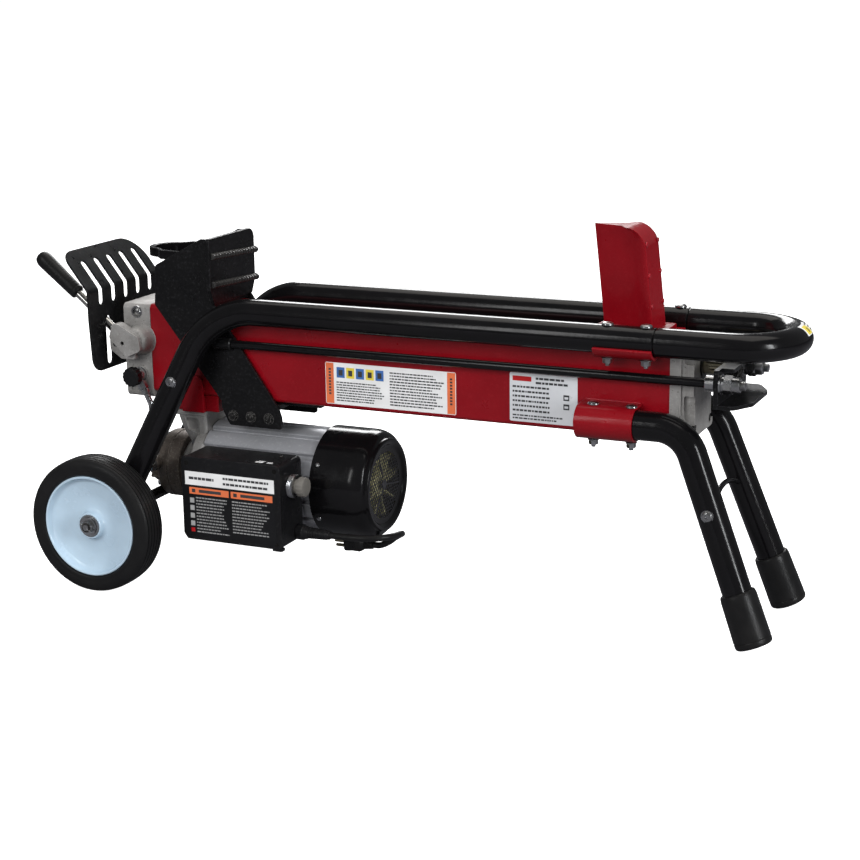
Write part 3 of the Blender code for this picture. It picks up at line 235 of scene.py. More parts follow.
def pipe(path, radii, wall=0, segments=40):
    """A round tube along a path, hollow and open at both ends if it has a wall."""
    path = [Vector(p) for p in path]
    if not hasattr(radii, "__len__"):
        radii = [radii] * len(path)
    outer, inner = [], []
    across = None
    for i, point in enumerate(path):
        back = (point - path[i - 1]).normalized() if i > 0 else None
        ahead = (path[i + 1] - point).normalized() if i + 1 < len(path) else None
        along = ahead if back is None else back if ahead is None else (back + ahead).normalized()
        if across is None:
            across = along.cross(Vector((0, 0, 1)))
            if across.length < 0.1:
                across = along.cross(Vector((0, 1, 0)))
        across = (across - along * across.dot(along)).normalized()
        up = along.cross(across)
        for rings, radius in ((outer, radii[i]), (inner, radii[i] - wall)):
            rings.append([point + across * (radius * math.cos(a)) + up * (radius * math.sin(a)) for a
                in (2 * math.pi * k / segments for k in range(segments))])
    if wall <= 0:
        return lofted(outer)
    return lofted(outer + inner[::-1], closed=True)


def joined(*meshes):
    bm = bmesh.new()
    for mesh in meshes:
        bm.from_mesh(mesh)
    return finish_mesh(bm)


def worked(mesh, cuts=(), fuses=(), meets=(), bevel=0, steps=2, angle=35):
    """Apply booleans and then a bevel, and hand back the finished mesh."""
    base = linked("work", mesh)
    tools = []
    for operation, group in (("UNION", fuses), ("DIFFERENCE", cuts), ("INTERSECT", meets)):
        for other in group:
            modifier = base.modifiers.new("boolean", "BOOLEAN")
            modifier.operation = operation
            modifier.solver = "EXACT"
            modifier.object = linked("tool", other)
            tools.append(modifier.object)
    if bevel:
        modifier = base.modifiers.new("bevel", "BEVEL")
        modifier.width = bevel * MM
        modifier.segments = steps
        modifier.limit_method = "ANGLE"
        modifier.angle_limit = math.radians(angle)
        modifier.use_clamp_overlap = True
    return baked(base, tools)


def piece(name, mesh, look, body="frame", replaces=(), sharp=42):
    """Make a piece from a mesh measured from the axle, and tie it to its CAD body."""
    mesh.transform(Matrix.Translation((AXLE_X, 0, 0)))
    mesh.materials.clear()
    mesh.materials.append(LOOKS[look])
    mesh.shade_smooth()
    mesh.set_sharp_from_angle(angle=math.radians(sharp))
    obj = linked(name, mesh)
    modifier = obj.modifiers.new("normals", "WEIGHTED_NORMAL")
    modifier.keep_sharp = True
    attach(obj, body)
    if replaces:
        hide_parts(*replaces)
    return obj


def skin(node, mesh, look, body="frame", sharp=42):
    """A piece that stands for one CAD node."""
    return piece(f"{node}_skin", mesh, look, body, (node,), sharp)


def hexagon(radius, phase=0):
    return [(radius * math.cos(phase + math.pi * i / 3), radius * math.sin(phase + math.pi * i / 3)) for i
        in range(6)]


def hex_nut(axis, lo, hi, radius, centre, phase=0):
    """A hexagon whose corners are turned off at both ends."""
    body = prism(hexagon(radius, phase), axis, lo, hi)
    body.transform(shift(*centre))
    depth = radius * 0.13
    crown = turned([(lo, radius * 0.90), (lo + depth, radius * 1.02), (hi - depth, radius * 1.02),
        (hi, radius * 0.90)], axis, centre, 48)
    return worked(body, meets=[crown])


def washer(axis, lo, hi, hole, radius, centre, segments=40):
    return turned([(lo, hole), (lo, radius), (hi, radius), (hi, hole)], axis, centre, segments, closed=True)


def around(radius, degrees):
    """A point about the motor's axis."""
    a = math.radians(degrees)
    return (0, radius * math.cos(a), MOTOR_Z + radius * math.sin(a))


def thread(axis, lo, hi, radius, centre, pitch=1.1, segments=28):
    """A threaded end, shown as close rings with a chamfered tip."""
    step = pitch if hi > lo else -pitch
    profile = [(lo, 0), (lo, radius)]
    count = max(1, int(abs(hi - lo) / pitch) - 1)
    for i in range(count):
        a = lo + step * i
        profile += [(a + step * 0.25, radius), (a + step * 0.5, radius * 0.88), (a + step * 0.75, radius)]
    profile += [(hi - step * 0.6, radius), (hi, radius * 0.8), (hi, 0)]
    return turned(profile, axis, centre, segments)


def dome_head(axis, face, out, radius, height, centre, segments=36):
    """A round pan head standing off a face; out is the direction it stands, plus or minus one."""
    profile = [(face, 0), (face, radius), (face + out * height * 0.25, radius)]
    for degrees in (20, 38, 55, 72):
        a = math.radians(degrees)
        profile.append((face + out * height * (0.25 + 0.75 * math.sin(a)), radius * math.cos(a) ** 0.75))
    profile.append((face + out * height, 0))
    return turned(profile, axis, centre, segments)


# ---------------------------------------------------------------- materials
LOOKS = {}
MICRONS = 1000000   # in a metre


def node(tree, kind, links=(), **values):
    made = tree.nodes.new("ShaderNode" + kind)
    for key, value in values.items():
        if key in made.inputs:
            made.inputs[key].default_value = value
        else:
            setattr(made, key, value)
    for socket, source in links:
        tree.links.new(source, made.inputs[socket])
    return made


def settings(made, **values):
    """Set sockets whose names have spaces; an underscore stands for each."""
    for key, value in values.items():
        made.inputs[key.replace("_", " ")].default_value = value


def noise(tree, place, scale, detail=3, rough=0.6):
    made = node(tree, "TexNoise", [("Vector", place)], Scale=scale, Detail=detail, Roughness=rough)
    return made.outputs["Fac"]


def ramp(tree, value, low, high, to_low=0, to_high=1):
    made = node(tree, "MapRange", [("Value", value)])
    settings(made, From_Min=low, From_Max=high, To_Min=to_low, To_Max=to_high)
    return made.outputs[0]


def over(tree, mask, under, colour):
    """Lay a colour over another wherever the mask is bright."""
    made = node(tree, "Mix", [(0, mask), (6, under)], data_type="RGBA")
    made.inputs[7].default_value = (*colour, 1)
    return made.outputs[2]


def look(name, colour, shade, rough, metallic=0, coat=0, specular=0.5, blotch=14, grain=600, bite=50,
        peel=0, scratch=0, hair=(0.4, 0.4, 0.4), stretch=(1, 1, 1), edge=None, dust=0, spots=None):
    """A surface whose colour drifts between two tones, with grain, orange peel, scratches and edges lightened
    partly by wear and partly by a painted highlight.

    bite and peel are the heights of the grain and of the orange peel in micrometres.
    """
    material = bpy.data.materials.new(name)
    material.use_nodes = True
    tree = material.node_tree
    shader = tree.nodes["Principled BSDF"]
    place = node(tree, "TexCoord").outputs["Object"]
    tone = ramp(tree, noise(tree, place, blotch, 4), 0.35, 0.65)
    base = node(tree, "Mix", [(0, tone)], data_type="RGBA")
    base.inputs[6].default_value = (*colour, 1)
    base.inputs[7].default_value = (*shade, 1)
    paint = base.outputs[2]
    fine = noise(tree, node(tree, "Mapping", [("Vector", place)], Scale=stretch).outputs[0], grain)
    roughness = ramp(tree, noise(tree, place, 48, 5, 0.62), 0.3, 0.7, *rough)
    if spots:
        size, level, tint = spots
        paint = over(tree, ramp(tree, noise(tree, place, size, 2, 0.5), level, level + 0.06), paint, tint)
    if dust:
        film = ramp(tree, noise(tree, place, 31, 8, 0.7), 0.45, 0.80, 0, dust)
        paint = over(tree, film, paint, (0.30, 0.28, 0.25))
    if scratch:
        lines = node(tree, "Mapping", [("Vector", place)], Scale=(14, 190, 230),
            Rotation=(0.2, 0.5, 0.3))
        scored = ramp(tree, noise(tree, lines.outputs[0], 1.6, 3, 0.7), 0.69, 0.74, 0, scratch)
        paint = over(tree, scored, paint, hair)
        roughness = node(tree, "Math", [(0, roughness), (1, scored)], operation="ADD",
            use_clamp=True).outputs[0]
    # Edges get a lighter colour: partly wear, partly a painted highlight where the edges would catch the
    # light.
    if edge:
        soft = node(tree, "Bevel", samples=4, Radius=0.0010)
        plain = node(tree, "NewGeometry")
        facing = node(tree, "VectorMath", [(0, soft.outputs[0]), (1, plain.outputs["Normal"])],
            operation="DOT_PRODUCT")
        both = node(tree, "Math", [(0, facing.outputs["Value"]), (1, noise(tree, place, 260, 6, 0.75))],
            operation="ADD")
        paint = over(tree, ramp(tree, both.outputs[0], 1.46, 1.28, 0, edge[1]), paint, edge[0])
    normal = node(tree, "Bump", [("Height", fine)], Strength=1, Distance=bite / MICRONS).outputs[0]
    if peel:
        waves = noise(tree, place, 230, 1, 0.4)
        normal = node(tree, "Bump", [("Height", waves), ("Normal", normal)], Strength=1, Distance=peel
            / MICRONS).outputs[0]
    for socket, source in (("Base Color", paint), ("Roughness", roughness), ("Normal", normal)):
        tree.links.new(source, shader.inputs[socket])
    settings(shader, Metallic=metallic, Specular_IOR_Level=specular, Coat_Weight=coat, Coat_Roughness=0.06)
    LOOKS[name] = material


def make_looks():
    bare = (0.30, 0.29, 0.28)
    look("red_paint", (0.190, 0.0022, 0.0062), (0.160, 0.0017, 0.0050), (0.26, 0.38), coat=0.20,
        specular=0.28, peel=100, bite=20, scratch=0.10, hair=(0.34, 0.05, 0.05),
        edge=((0.30, 0.02, 0.025), 0.3), dust=0.004)
    look("black_gloss", (0.0022, 0.0021, 0.0024), (0.0034, 0.0032, 0.0036), (0.12, 0.22), coat=0.10,
        specular=0.34, peel=70, bite=12, scratch=0.05, hair=(0.06, 0.06, 0.06), dust=0.003)
    look("black_satin", (0.0026, 0.0026, 0.0029), (0.0042, 0.0041, 0.0044), (0.24, 0.40), specular=0.30,
        peel=120, grain=900, bite=40, scratch=0.10, hair=(0.04, 0.04, 0.042),
        edge=((0.05, 0.05, 0.055), 0.45), dust=0.006)
    look("black_oxide", (0.0036, 0.0035, 0.0034), (0.0065, 0.0062, 0.0060), (0.22, 0.36), specular=0.40,
        grain=500, stretch=(0.06, 1, 1), bite=30, scratch=0.14, hair=(0.10, 0.10, 0.10),
        edge=(bare, 0.4))
    look("cast_alu", (0.36, 0.35, 0.34), (0.25, 0.242, 0.232), (0.34, 0.52), metallic=0.45, blotch=26,
        grain=520, bite=160, peel=120, spots=(340, 0.66, (0.14, 0.135, 0.125)),
        edge=((0.62, 0.61, 0.59), 0.6), dust=0.10)
    look("cast_pump", (0.150, 0.125, 0.105), (0.085, 0.070, 0.060), (0.36, 0.56), metallic=0.55, blotch=30,
        grain=460, bite=180, peel=140, spots=(300, 0.64, (0.075, 0.065, 0.055)),
        edge=((0.42, 0.38, 0.33), 0.6), dust=0.10)
    look("silver_alu", (0.34, 0.345, 0.37), (0.28, 0.285, 0.30), (0.30, 0.44), metallic=0.45, blotch=10,
        grain=420, stretch=(0.04, 1, 1), bite=50, scratch=0.10, hair=(0.55, 0.55, 0.56),
        edge=((0.66, 0.67, 0.68), 0.4), dust=0.04)
    look("zinc", (0.60, 0.61, 0.63), (0.46, 0.46, 0.45), (0.22, 0.34), metallic=1, blotch=60, grain=500,
        bite=12, scratch=0.05, hair=(0.75, 0.75, 0.74))
    look("chrome", (0.70, 0.69, 0.66), (0.62, 0.61, 0.58), (0.07, 0.16), metallic=1, blotch=30,
        grain=700, stretch=(0.08, 1, 1), bite=10, scratch=0.06)
    look("brassy_chrome", (0.50, 0.46, 0.33), (0.42, 0.37, 0.25), (0.10, 0.20), metallic=1, blotch=24,
        grain=700, stretch=(0.08, 1, 1), bite=12, scratch=0.06)
    look("tyre", (0.0050, 0.0050, 0.0054), (0.0075, 0.0074, 0.0076), (0.34, 0.50), specular=0.36, blotch=22,
        grain=800, bite=100, peel=100, scratch=0.06, hair=(0.05, 0.05, 0.05), dust=0.010)
    look("cap_rubber", (0.0042, 0.0041, 0.0043), (0.0065, 0.0063, 0.0064), (0.28, 0.44), specular=0.40,
        blotch=20, grain=620, bite=120, peel=80, dust=0.010)
    look("black_plastic", (0.0040, 0.0040, 0.0046), (0.0058, 0.0058, 0.0064), (0.26, 0.38), specular=0.38,
        blotch=18, grain=1100, bite=60, peel=50, scratch=0.05, hair=(0.06, 0.06, 0.06),
        edge=((0.04, 0.04, 0.04), 0.3), dust=0.003)
    look("grip_rubber", (0.0040, 0.0040, 0.0042), (0.0062, 0.0061, 0.0062), (0.32, 0.46), specular=0.38,
        grain=720, bite=140, peel=80, dust=0.010)
    look("boot_grey", (0.15, 0.14, 0.125), (0.095, 0.090, 0.082), (0.42, 0.60), specular=0.4, grain=720,
        bite=120, dust=0.06)
    look("rim_white", (0.43, 0.55, 0.65), (0.37, 0.48, 0.58), (0.16, 0.30), coat=0.4, specular=0.5,
        blotch=12, peel=80, bite=20, scratch=0.05, hair=(0.38, 0.42, 0.45), edge=((0.42, 0.47, 0.50), 0.3),
        dust=0.04)
    look("weld_red", (0.24, 0.006, 0.012), (0.15, 0.003, 0.008), (0.26, 0.42), coat=0.3, grain=420,
        bite=240, peel=160)
    look("weld_black", (0.012, 0.0115, 0.0115), (0.022, 0.021, 0.020), (0.28, 0.44), grain=420, bite=240,
        peel=160)
    look("label_white", (0.70, 0.70, 0.70), (0.62, 0.62, 0.62), (0.30, 0.42), specular=0.4, blotch=30,
        grain=800, bite=20, scratch=0.05, hair=(0.35, 0.35, 0.34), dust=0.05)
    look("label_silver", (0.60, 0.61, 0.63), (0.52, 0.53, 0.55), (0.26, 0.36), metallic=0.10, blotch=20,
        grain=700, stretch=(0.1, 1, 1), bite=20, scratch=0.06, dust=0.04)
    look("label_black", (0.0045, 0.0045, 0.0052), (0.0062, 0.0062, 0.0070), (0.30, 0.40), specular=0.4,
        grain=800, bite=20)
    for name, colour, shade in (("label_orange", (0.64, 0.155, 0.060), (0.56, 0.130, 0.050)),
            ("label_yellow", (0.62, 0.50, 0.06), (0.55, 0.43, 0.05)),
            ("label_red", (0.35, 0.010, 0.012), (0.28, 0.008, 0.010))):
        look(name, colour, shade, (0.32, 0.44), specular=0.4, blotch=40, grain=800, bite=20)
    for name, colour, shade in (("print_dark", (0.030, 0.030, 0.032), (0.045, 0.045, 0.048)),
            ("print_blue", (0.050, 0.13, 0.36), (0.04, 0.11, 0.30)),
            ("print_pale", (0.30, 0.30, 0.30), (0.24, 0.24, 0.24))):
        look(name, colour, shade, (0.40, 0.50), specular=0.3, grain=900, bite=20)
    look("fan_plastic", (0.74, 0.70, 0.40), (0.62, 0.58, 0.30), (0.40, 0.55), specular=0.4, grain=600,
        bite=60, dust=0.1)
    look("grille_grey", (0.020, 0.020, 0.023), (0.030, 0.030, 0.034), (0.30, 0.45), specular=0.45,
        grain=700, bite=20)
    look("winding", (0.34, 0.12, 0.045), (0.24, 0.08, 0.03), (0.30, 0.45), metallic=0.6, grain=420,
        stretch=(1, 1, 0.2), bite=200)
    look("machined", (0.46, 0.455, 0.44), (0.36, 0.355, 0.34), (0.22, 0.36), metallic=1, grain=600,
        stretch=(0.08, 1, 1), bite=40, scratch=0.1)
    # A matt near-black for the floors of sockets and screw wells: painted shade standing in for the shade
    # inside these recesses.
    look("painted_socket_shade", (0.004, 0.004, 0.004), (0.008, 0.0075, 0.007), (0.6, 0.8), specular=0.2)


# ---------------------------------------------------------------- beam, wedge and end castings
def add_beam():
    w = 4
    outer = rect((-45, 45), (248, 373), 6.2)
    inner = rect((-45 + w, 45 - w), (248 + w, 373 - w), 3)
    rings = [[axis_point("X", x, u, v) for u, v in o] for x, o in ((10.3, outer), (766.7, outer),
        (766.7, inner), (10.3, inner))]
    skin("beam", lofted(rings, closed=True), "red_paint")
    pad = worked(prism(rect((-40, 40), (224.3, 247.9)), "X", 45, 112), bevel=1.5, steps=3)
    piece("beam_foot_pad", pad, "red_paint")
    ear = rounded([(58, 224.3), (92, 224.3), (92, 276), (58, 276)], [0, 0, 10, 10])
    for side, word in SIDES:
        upper = prism([(z, x) for x, z in ear], "Y", *span(side, 44.8, 48.5))
        lower = prism([(z, x) for x, z in rect((58, 92), (224.3, 247))], "Y", *span(side, 40.2, 48.5))
        mesh = worked(upper, fuses=[lower], bevel=1.2, steps=3)
        piece(f"beam_foot_ear_{word}", mesh, "red_paint")
        seam = pipe([(48, side * 45.5, 247.5), (56, side * 45.8, 246.8)], [2.2, 1.8], segments=16)
        piece(f"ear_weld_{word}", seam, "weld_red")


def add_wedge():
    base_z = 373 + GAP
    lean = -0.106

    def tip(z):
        return 665.5 + lean * (z - 373)

    def section(z, depth=73.5):
        x = tip(z)
        half = 27
        row = [(x, -0.8), (x + 10, -4.6), (x + 22, -8), (x + 34, -11.2), (x + 46, -15.2), (x + 56.5, -20),
            (x + 66, -half + 1), (x + depth, -half)]
        return [Vector((px, py, z)) for px, py in row + [(a, -b) for a, b in row[::-1]]]

    rings = [section(base_z + 6), section(420), section(485)]
    top_z = 511.5
    for degrees in (12, 24, 36, 48, 60, 72, 84):
        a = math.radians(degrees)
        row = section(top_z - 26.5 + 26.5 * math.sin(a), 73.5 - 26.5 * (1 - math.cos(a)))
        back = row[7].x
        for i, lead in ((6, 3), (5, 6), (4, 9), (3, 15)):
            for k in (i, 15 - i):
                row[k].x = min(row[k].x, back - lead)
        rings.append(row)
    blade = worked(lofted(rings), bevel=0.7, steps=2, angle=40)
    skin("wedge", blade, "red_paint", sharp=30)
    plate = rounded([(655, -40), (750, -40), (750, 40), (655, 40)], [6] * 4)
    base = worked(prism(plate, "Z", base_z, base_z + 8), bevel=1)
    piece("wedge_base", base, "red_paint")
    beads = []
    for side, _ in SIDES:
        for z in (412, 451, 490):
            bead = dome_head("X", tip(z) + 73.3, 1, 3.4, 2.2, (0, side * 22.5, z), 20)
            beads.append(bead)
    piece("wedge_weld_beads", joined(*beads), "weld_red")
    seam = []
    for side, _ in SIDES:
        points = [(tip(base_z) + 12, side * 6.2, base_z + 8.5), (tip(base_z) + 34, side * 12.2, base_z + 8.5),
            (tip(base_z) + 56.5, side * 21, base_z + 8.5), (tip(base_z) + 72.5, side * 27.8, base_z + 8.5)]
        seam.append(rippled_bead(points, 2.6))
    piece("wedge_base_weld", joined(*seam), "weld_red")


def rippled_bead(points, radius, spacing=1.6):
    """A weld bead: a thin tube whose radius ripples along its run."""
    path, radii = [], []
    for p, q in zip(points, points[1:]):
        p, q = Vector(p), Vector(q)
        count = max(2, round((q - p).length / spacing))
        for k in range(count):
            path.append(p.lerp(q, k / count))
            radii.append(radius * (1 if k % 2 else 0.84))
    path.append(Vector(points[-1]))
    radii.append(radius * 0.6)
    return pipe(path, radii, segments=14)


def add_valve_cover():
    outline = rect((-46, 46), (239, 372), 7)
    block = prism(outline, "X", -33, 10)
    web = rounded([(330, -46), (330, -10), (296, -4), (296, -28), (308, -46)], [10, 4, 4, 6, 8])
    lug = prism(web, "Y", -65.5, -57.5)
    pocket = prism(rect((246, 262), (-26, -4), 3), "Y", -50, -44)
    cuts = [pocket, bar("X", -36, -31, 4, (0, 36, 355), 24), bar("X", -36, -31, 4, (0, 36, 256), 24)]
    body = worked(block, cuts=cuts, bevel=1.8, steps=3)
    skin("valve_cover", body, "cast_alu")
    boss = turned([(-66.5, 0), (-66.5, 15), (-65.5, 17), (-62, 19), (-53, 19.8), (-47, 21.5), (-45.2, 23.5),
        (-45.2, 0)], "Y", (-6, 0, 322), 56)
    piece("valve_boss", boss, "cast_alu")
    nose = rounded([(347, -35), (347, -27), (330, 6), (311, 9), (301, -14.5), (327, -42)], [4, 5, 6, 6, 5, 5])
    lever_boss = worked(prism(nose, "Y", -73.5, -57.5), cuts=[hex_nut("Y", -74.5, -69, 3.4, (-20.5, 0, 320))],
        bevel=1.3, steps=3)
    piece("valve_lever_boss", lever_boss, "cast_alu")
    # A dark disc on the floor of the hex socket: painted shade in the recess.
    socket = bar("Y", -70, -68.8, 3.4, (-20.5, 0, 320), 6)
    piece("valve_boss_socket_shade", socket, "painted_socket_shade")
    piece("valve_lug", worked(lug, bevel=1.2, steps=3), "cast_alu")
    pin = joined(dome_head("Y", -65.5, -1, 4.2, 1.6, (LEVER_PIVOT.x, 0, LEVER_PIVOT.z)),
        bar("Y", -65.6, -47, 3.4, (LEVER_PIVOT.x, 0, LEVER_PIVOT.z), 24))
    piece("lever_pin", pin, "zinc")
    screw = worked(dome_head("Y", -46.1, -1, 6.2, 3, (-11, 0, 361)),
        cuts=[hex_nut("Y", -52, -47.4, 2.601, (-11, 0, 361))])
    disc = bar("Y", -47, -45.9, 8.5, (-11, 0, 361), 36)
    piece("valve_cover_screw", joined(screw, disc), "zinc")
    rear = []
    for y, z in ((-34, 254), (34, 254), (34, 357)):
        rear.append(worked(dome_head("X", -33.1, -1, 6, 3.2, (0, y, z)),
            cuts=[hex_nut("X", -40, -35, 2.6, (0, y, z))]))
    piece("valve_rear_screws", joined(*rear), "zinc")
    seat = turned([(-50.8, 0), (-50.8, 9.5), (-49.8, 10.8), (-47, 11.2), (-45.2, 13.5), (-45.2, 0)], "Y",
        (KNOB_X, 0, KNOB_Z), 40)
    piece("banjo_seat", seat, "cast_alu")
    offs = [bar("X", GUARD_X + 1.5 + GAP, -32.5, 6.5, (0, y, 300), 6) for y in (-22, 26)]
    piece("guard_standoffs", worked(joined(*offs), bevel=0.6), "zinc")
    heads = [joined(bar("X", -58.9, -58.1, 8.5, (0, y, 300), 36),
        hex_nut("X", -62.6, -58.8, 6.6, (0, y, 300))) for y in (-22, 26)]
    piece("guard_screws", joined(*heads), "zinc")


def add_end_cover():
    """A finned casting with two cored channels in each side."""
    first = prism(rect((-46, 46), (249, 372), 7), "X", 767, 781.5)
    second = prism(rect((-42.5, 42.5), (253, 369), 6), "X", 781, 790.5)
    third = prism(rect((-44, 44), (251.5, 370), 6), "X", 790, 797.5)
    cuts = [bar("X", 760, 825, ROD_R + GAP, (0, 0, CYLINDER_Z), 48)]
    for side, _ in SIDES:
        for z0, z1 in ((261, 306), (346, 362)):
            channel = prism(rect((z0, z1), (784.5, 799), 3), "Y", *span(side, 36, 50))
            cuts.append(channel)
    for y, z in ((-33, 262), (33, 262), (-33, 359), (33, 359)):
        cuts.append(bar("X", 793, 800, 6.2, (0, y, z), 28))
    cover = worked(first, fuses=[second, third], cuts=cuts, bevel=1.1, steps=3)
    skin("end_cover", cover, "cast_alu")
    bolts = [hex_nut("X", 793.1, 796.8, 5.2, (0, y, z)) for y, z
        in ((-33, 262), (33, 262), (-33, 359), (33, 359))]
    piece("end_cover_bolts", joined(*bolts), "black_oxide")
    seal = turned([(797.6, ROD_R + 0.3), (797.6, 18.5), (798.5, 19), (799.2, 17.5), (799.2, ROD_R + 0.6)],
        "X", (0, 0, CYLINDER_Z), 56, closed=True)
    piece("rod_wiper_seal", seal, "cap_rubber")


# ---------------------------------------------------------------- tubes, cradles, saddles and legs
def leg_path(side):
    axle = Vector((0, side * 140, WHEEL_R))
    bend = Vector((124, side * RAIL_Y, RAIL_Z))
    foot = axle + (axle - bend).normalized() * 15
    return filleted([foot, bend, Vector((RAIL_JOINT_X - GAP, side * RAIL_Y, RAIL_Z))], [105], 3)


def leg_bolt(side, spot, out, head_radius, washer_radius, under):
    """A socket-headed bolt and its washer on the outer face of a leg."""
    centre = (spot.x, 0, spot.z)
    face = spot.y + side * out
    head = worked(dome_head("Y", face, side, head_radius, 3.4, centre),
        cuts=[hex_nut("Y", *sorted((face + side * 1.6, face + side * 6)), 2.8, centre)])
    return joined(head, bar("Y", *sorted((face - side * under, face + side * 0.6)), washer_radius, centre,
        36))


def add_rails():
    for side, word in SIDES:
        path = leg_path(side)
        path.insert(-1, path[-1] - Vector((1.4, 0, 0)))
        radii = [TUBE_R] * (len(path) - 1) + [TUBE_R - 0.6]
        skin(f"rail_tube_{word}", pipe(path, radii, 2, 56), "black_gloss")
        foot = path[0]
        up = (path[1] - foot).normalized()
        cap = pipe([foot - up * 0.2, foot + up * 6], [TUBE_R - 2.4, TUBE_R - 2.2])
        piece(f"rail_end_plug_{word}", cap, "cap_rubber")
        bolt = leg_bolt(side, foot + up * 223.5, TUBE_R * 0.955, 7.2, 8.2, 2.2)
        piece(f"rear_leg_bolt_{word}", bolt, "zinc")


def add_handle():
    joint = RAIL_JOINT_X
    arc = []
    steps = 48
    for i in range(steps + 1):
        a = -math.pi / 2 + math.pi * i / steps
        arc.append(Vector((HANDLE_ARC_X + RAIL_Y * math.cos(a), RAIL_Y * math.sin(a), RAIL_Z)))
    start = [Vector((x, -RAIL_Y, RAIL_Z)) for x in (716, joint + 0.2, joint + 0.6, joint + 2.2)]
    stop = [Vector((p.x, RAIL_Y, RAIL_Z)) for p in start[::-1]]
    spigot = TUBE_R - 3
    ends = [spigot, spigot, TUBE_R - 0.9, TUBE_R]
    path = start + arc + stop
    radii = ends + [TUBE_R] * len(arc) + ends[::-1]
    skin("handle_tube", pipe(path, radii, 2, 56), "black_gloss")
    sticker_on_handle()


def sticker_on_handle():
    """A small pale sticker wrapped over the top of the handle's bend."""
    def patch(name, look_name, a0, a1, b0, b1, lift):
        rings = []
        for i in range(13):
            a = math.radians(a0 + (a1 - a0) * i / 12)
            outer, inner = [], []
            for k in range(11):
                b = math.radians(b0 + (b1 - b0) * k / 10)
                for row, r in ((outer, TUBE_R + lift + 0.12), (inner, TUBE_R + lift - 0.1)):
                    reach = RAIL_Y + r * math.cos(b)
                    row.append(Vector((HANDLE_ARC_X + reach * math.cos(a), reach * math.sin(a), RAIL_Z + r
                        * math.sin(b))))
            rings.append(outer + inner[::-1])
        piece(name, lofted(rings), look_name)

    patch("handle_sticker", "label_white", -6, 20, 26, 84, 0.1)
    patch("handle_sticker_mark", "label_yellow", -4, 7, 30, 72, 0.3)
    patch("handle_sticker_line_1", "print_dark", 9, 18, 68, 73, 0.3)
    patch("handle_sticker_line_2", "print_dark", 9, 18, 54, 59, 0.3)
    patch("handle_sticker_line_3", "print_dark", 9, 16, 40, 45, 0.3)
    patch("handle_sticker_bang", "print_dark", 0.5, 2.5, 38, 60, 0.5)


def arc_points(centre, radius, start, stop, steps):
    angles = [math.radians(start + (stop - start) * i / steps) for i in range(steps + 1)]
    return [(centre[0] + radius * math.cos(a), centre[1] + radius * math.sin(a)) for a in angles]


def carriage_bolt(x, y, top, nut_top, nut_bottom, tip):
    """A dome-headed bolt with a washer and a flanged nut below, all upright."""
    centre = (x, y, 0)
    dome = dome_head("Z", top, 1, 7.8, 4.2, centre)
    shank = bar("Z", nut_bottom, top, 3, centre, 24)
    flange = turned([(nut_top, 0), (nut_top, 7.4), (nut_top - 0.9, 7.4), (nut_top - 2, 5.8),
        (nut_top - 2, 0)], "Z", centre, 36)
    nut = hex_nut("Z", nut_bottom, nut_top - 1.5, 6.2, centre, 0.4)
    end = thread("Z", nut_bottom, tip, 2.9, centre)
    return joined(dome, shank, flange, nut, end)


def add_cradles_and_saddles():
    inner = TUBE_R + 0.4
    outer = inner + 4.2
    outline = arc_points((RAIL_Y, RAIL_Z), outer, -24, -140, 22)
    outline += [(45.3, 359), (45.3, 370)]
    outline += arc_points((RAIL_Y, RAIL_Z), inner, -165, -24, 24)
    leg_inner = FOOT_LEG_R + 0.4
    leg_outer = leg_inner + 3
    wrap = [(45.3, FOOT_LEG_Z - leg_outer)]
    wrap += arc_points((FOOT_LEG_Y, FOOT_LEG_Z), leg_outer, -90, 90, 32)
    wrap += [(45.3, FOOT_LEG_Z + leg_outer), (45.3, FOOT_LEG_Z + leg_inner)]
    wrap += arc_points((FOOT_LEG_Y, FOOT_LEG_Z), leg_inner, 90, -90, 32)
    wrap += [(45.3, FOOT_LEG_Z - leg_inner)]
    for side, word in SIDES:
        mesh = worked(prism([(side * y, z) for y, z in outline], "X", 680, 756.5), bevel=0.7)
        skin(f"rail_cradle_{word}", mesh, "red_paint")
        mesh = worked(prism([(side * y, z) for y, z in wrap], "X", 655, 731.5), bevel=0.7)
        skin(f"leg_saddle_{word}", mesh, "red_paint")
        bead = rippled_bead([(682, side * 46.2, 358.2), (755, side * 46.2, 358.2)], 1.8)
        piece(f"cradle_weld_{word}", bead, "weld_red")
        seams = [rippled_bead([(656.5, side * 46.1, z), (730, side * 46.1, z)], 1.6) for z
            in (FOOT_LEG_Z + leg_outer + 0.4, FOOT_LEG_Z - leg_outer - 0.4)]
        piece(f"saddle_weld_{word}", joined(*seams), "weld_red")
        for i, x in enumerate((694, 744)):
            bottom = RAIL_Z - TUBE_R - 4.6 - GAP
            mesh = carriage_bolt(x, side * RAIL_Y, RAIL_Z + TUBE_R - 0.4, bottom, bottom - 7, bottom - 10.5)
            skin(f"rail_bolt_{word}_{i + 1}", mesh, "zinc")
        for i, x in enumerate((675, 725)):
            top = FOOT_LEG_Z + FOOT_LEG_R + 3.4
            bottom = FOOT_LEG_Z - FOOT_LEG_R - 3.4 - GAP
            mesh = carriage_bolt(x, side * FOOT_LEG_Y, top, bottom, bottom - 7, bottom - 10.5)
            skin(f"saddle_bolt_{word}_{i + 1}", mesh, "zinc")


def foot_geometry(side):
    knee = Vector((FOOT_KNEE_X, side * FOOT_LEG_Y, FOOT_LEG_Z))
    rough = Vector((FOOT_END[0], side * FOOT_END[1], 9))
    down = (rough - knee).normalized()
    sole_z = CAP_R * math.sqrt(1 - down.z ** 2) - 1.5
    return knee, down, knee + down * ((sole_z - knee.z) / down.z)


